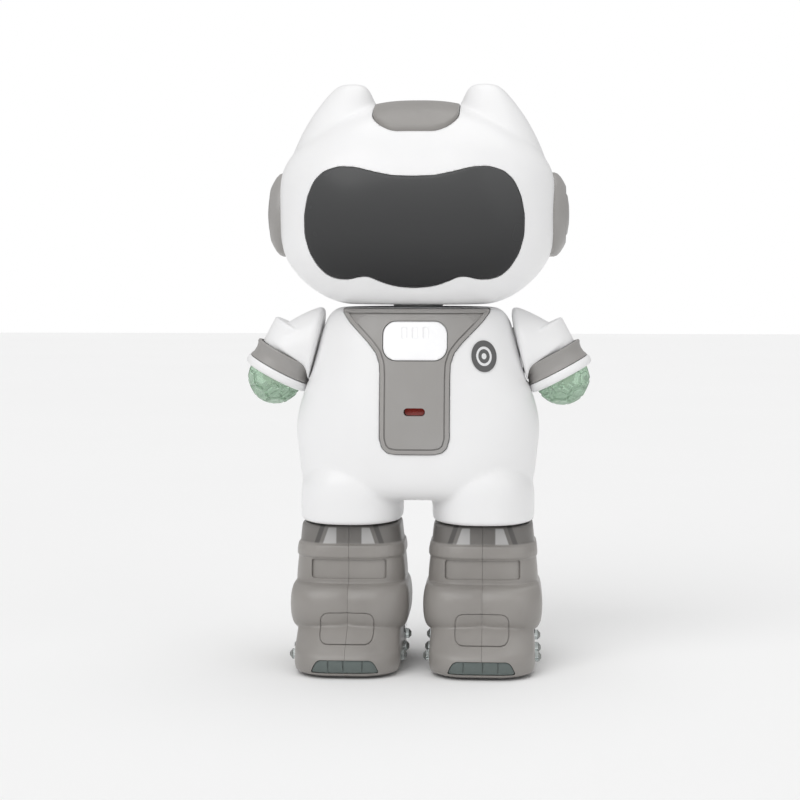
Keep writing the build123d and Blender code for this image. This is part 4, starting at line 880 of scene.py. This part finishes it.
bootSettings = {
    "x": 21.5, "gap": 0.04,
    "shaft": [(8, 17.0, -16.6, 16.8), (20, 17.8, -17.2, 17.4), (28, 18.0, -17.5, 17.6), (32, 17.7, -17.2, 17.3),
              (35.8, 17.3, -16.8, 16.9), (41, 16.6, -16.0, 16.2), (46.6, 16.2, -15.6, 15.8),
              (46.7, 15.6, -15.2, 15.4)],
    "band": [(35.9, 17.2, -16.8, 16.9), (36.3, 17.65, -17.4, 17.4), (38.0, 17.65, -17.5, 17.5),
             (40.0, 17.25, -17.1, 17.1), (40.4, 16.7, -16.4, 16.4)],
    "bulge": [(12.9, 16.6, -19.0, 15.0), (13.3, 18.0, -21.4, 16.2), (16.0, 19.1, -22.9, 17.4),
              (20.0, 19.4, -23.4, 17.9), (23.5, 19.3, -23.2, 17.8), (26.2, 18.8, -22.0, 17.5),
              (27.6, 18.1, -19.9, 17.0), (28.0, 16.8, -17.0, 16.0)],
    "shoe": [(0.8, 15.8, -32.2, 23.8), (1.1, 16.6, -33.3, 24.6), (3.5, 17.0, -33.9, 25.0), (6.8, 17.0, -33.9, 25.0),
             (8.4, 16.9, -32.4, 24.9), (10.5, 16.8, -29.2, 24.8), (15.3, 16.6, -21.5, 24.2),
             (18.6, 16.2, -16.0, 23.0), (19.2, 15, -14, 21.5)],
    "recess": {"half": 12.1, "low": 29.4, "high": 35.6, "corner": 0.8, "depth": 0.7},
    "uLine": [(-8.7, 19.5), (8.7, 19.5), (8.7, 10.2), (-8.7, 10.2)],
    "uCorner": 2.6, "uWidth": 0.45, "uDepth": 0.4, "lobe": 6.0, "middleProud": 0.9,
    "window": [(-10.9, 1.9), (10.9, 1.9), (9.6, 4.9), (8.3, 6.2), (-8.3, 6.2), (-9.6, 4.9)],
    "windowCorner": 1.0, "windowGap": 0.12, "windowBars": (-5.6, 0.4, 5.2), "barHalf": 0.22, "barFront": -33.1,
    "heelSlot": (9.0, 12.4),
    "sole": [(-2, 14.6, -31.4, 22.4), (2.6, 14.6, -31.4, 22.4)],
    "wall": 1.7}


def bootForm(settings):
    x = settings["x"]
    shaft = tower("shaft", settings["shaft"], centreX=x, fixedCorner=11)
    band = tower("bootBand", settings["band"], centreX=x, fixedCorner=11, smooth=0)
    apart, proud = settings["lobe"], settings["middleProud"]
    lobe = [(z, half - apart, front, back) for z, half, front, back in settings["bulge"]]
    lobes = [tower("bulge", lobe, centreX=x + side * apart, fixedCorner=9) for side in (1, -1)]
    middle = [(z, half - apart, front + proud, back) for z, half, front, back in settings["bulge"]]
    middle = tower("bulgeMiddle", middle, centreX=x, fixedCorner=9)
    shoe = tower("shoe", settings["shoe"], centreX=x, fixedCorner=11)
    return mould(weld("bootForm", shaft, band, middle, *lobes, shoe), 0.36, 3)


def onBoot(points):
    return [(bootSettings["x"] + a, b) for a, b in points]


boot = bootForm(bootSettings)
bootWhole = copyOf(boot, "bootWhole")
bootCore = swell(copyOf(boot, "bootCore"), -bootSettings["wall"])
bootX, recess = bootSettings["x"], bootSettings["recess"]
recessEdge = onBoot(box4(recess["half"], recess["low"], recess["high"]))
recessPrism = outline("recess", recessEdge, recess["corner"], *frontCut)
boolean(recessPrism, swell(copyOf(boot, "recessFloor"), -recess["depth"]))
boolean(boot, recessPrism)
uEdge, uCorner = onBoot(bootSettings["uLine"]), bootSettings["uCorner"]
uOuter = outline("uOuter", uEdge, uCorner, *frontCut, segments=3)
boolean(uOuter, swell(outline("uInner", uEdge, uCorner, -62, 60, segments=3), -bootSettings["uWidth"]))
boolean(uOuter, swell(copyOf(boot, "uFloor"), -bootSettings["uDepth"]))
boolean(boot, uOuter)
boolean(boot, bootCore)
toePrism = outline("toePrism", onBoot(bootSettings["window"]), bootSettings["windowCorner"], -far, 32)
toeInner = swell(copyOf(toePrism, "toeInner"), -bootSettings["windowGap"])
toeWindow = skin(bootWhole, "toeWindow", toeInner, -0.3, 1.3, voxel=0.22, rounds=2)
for x in bootSettings["windowBars"]:
    low = (bootX + x - bootSettings["barHalf"], -far, 0)
    high = (bootX + x + bootSettings["barHalf"], bootSettings["barFront"], 10)
    boolean(toeWindow, block("barTool", low, high))
discard(bootWhole)
boolean(boot, toePrism)
slotLow, slotHigh = bootSettings["heelSlot"]
boolean(boot, block("heelSlot", (0, 0, slotLow), (45, 40, slotHigh)))
boolean(boot, tower("soleOpening", bootSettings["sole"], centreX=bootX, fixedCorner=10, smooth=0))
smoothUpTo(boot, 40)
outer = copyOf(boot, "bootOuterLeft")
boolean(outer, block("innerCut", (0, -far, -5), (bootX + bootSettings["gap"], far, far)))
inner = copyOf(boot, "bootInnerLeft")
boolean(inner, block("outerCut", (bootX - bootSettings["gap"], -far, -5), (far, far, far)))
discard(boot)
for form, part in ((outer, "outer"), (inner, "inner")):
    title = "boot" + part.title()
    twin = mirrored(form, title + "Right")
    finish(form, bootPlastic, "torso", "boot_plastic", "boot_" + part + "_shell_left")
    finish(twin, bootPlastic, "torso", "boot_plastic", "boot_" + part + "_shell_right")
toeTwin = mirrored(toeWindow, "toeWindowRight")
finish(toeWindow, smokeClear, "torso", "clear_smoke", "toe_window_left")
finish(toeTwin, smokeClear, "torso", "clear_smoke", "toe_window_right")
print("boots ready")


# what keeps its CAD shape gets its own finish here
finishes = {
    "sole_plate": solePlastic, "toe_window": smokeClear, "heel_light_band": studClear,
    "side_studs": studClear, "glide_studs": studClear, "chest_sensor": redLens, "face_board": boardGreen,
    "main_board": boardGreen, "foot_light_boards": boardGreen, "face_lights": lampWhite,
    "hand_light": lampWhite, "face_light_box": innerPlastic, "neck_post": innerPlastic,
    "switch_bridge": innerPlastic, "battery_case": innerPlastic, "shoulder_hub": innerPlastic,
    "wheel_hub": innerPlastic, "motor_pinion": innerPlastic, "speaker": blackPlastic,
    "button_switch": blackPlastic, "switch_housing": blackPlastic, "switch_knob": blackPlastic,
    "head_screws": steel, "torso_screws": steel, "boot_screws": steel, "door_screw": steel,
    "battery_contacts": steel, "foot_motors": steel, "battery_cells": cellJacket, "wheel_tyre": tyreRubber}
for nodeName, node in nodes.items():
    for start, material in finishes.items():
        if nodeName.startswith(start):
            node.data.materials.clear()
            node.data.materials.append(material)
print("finishes ready")
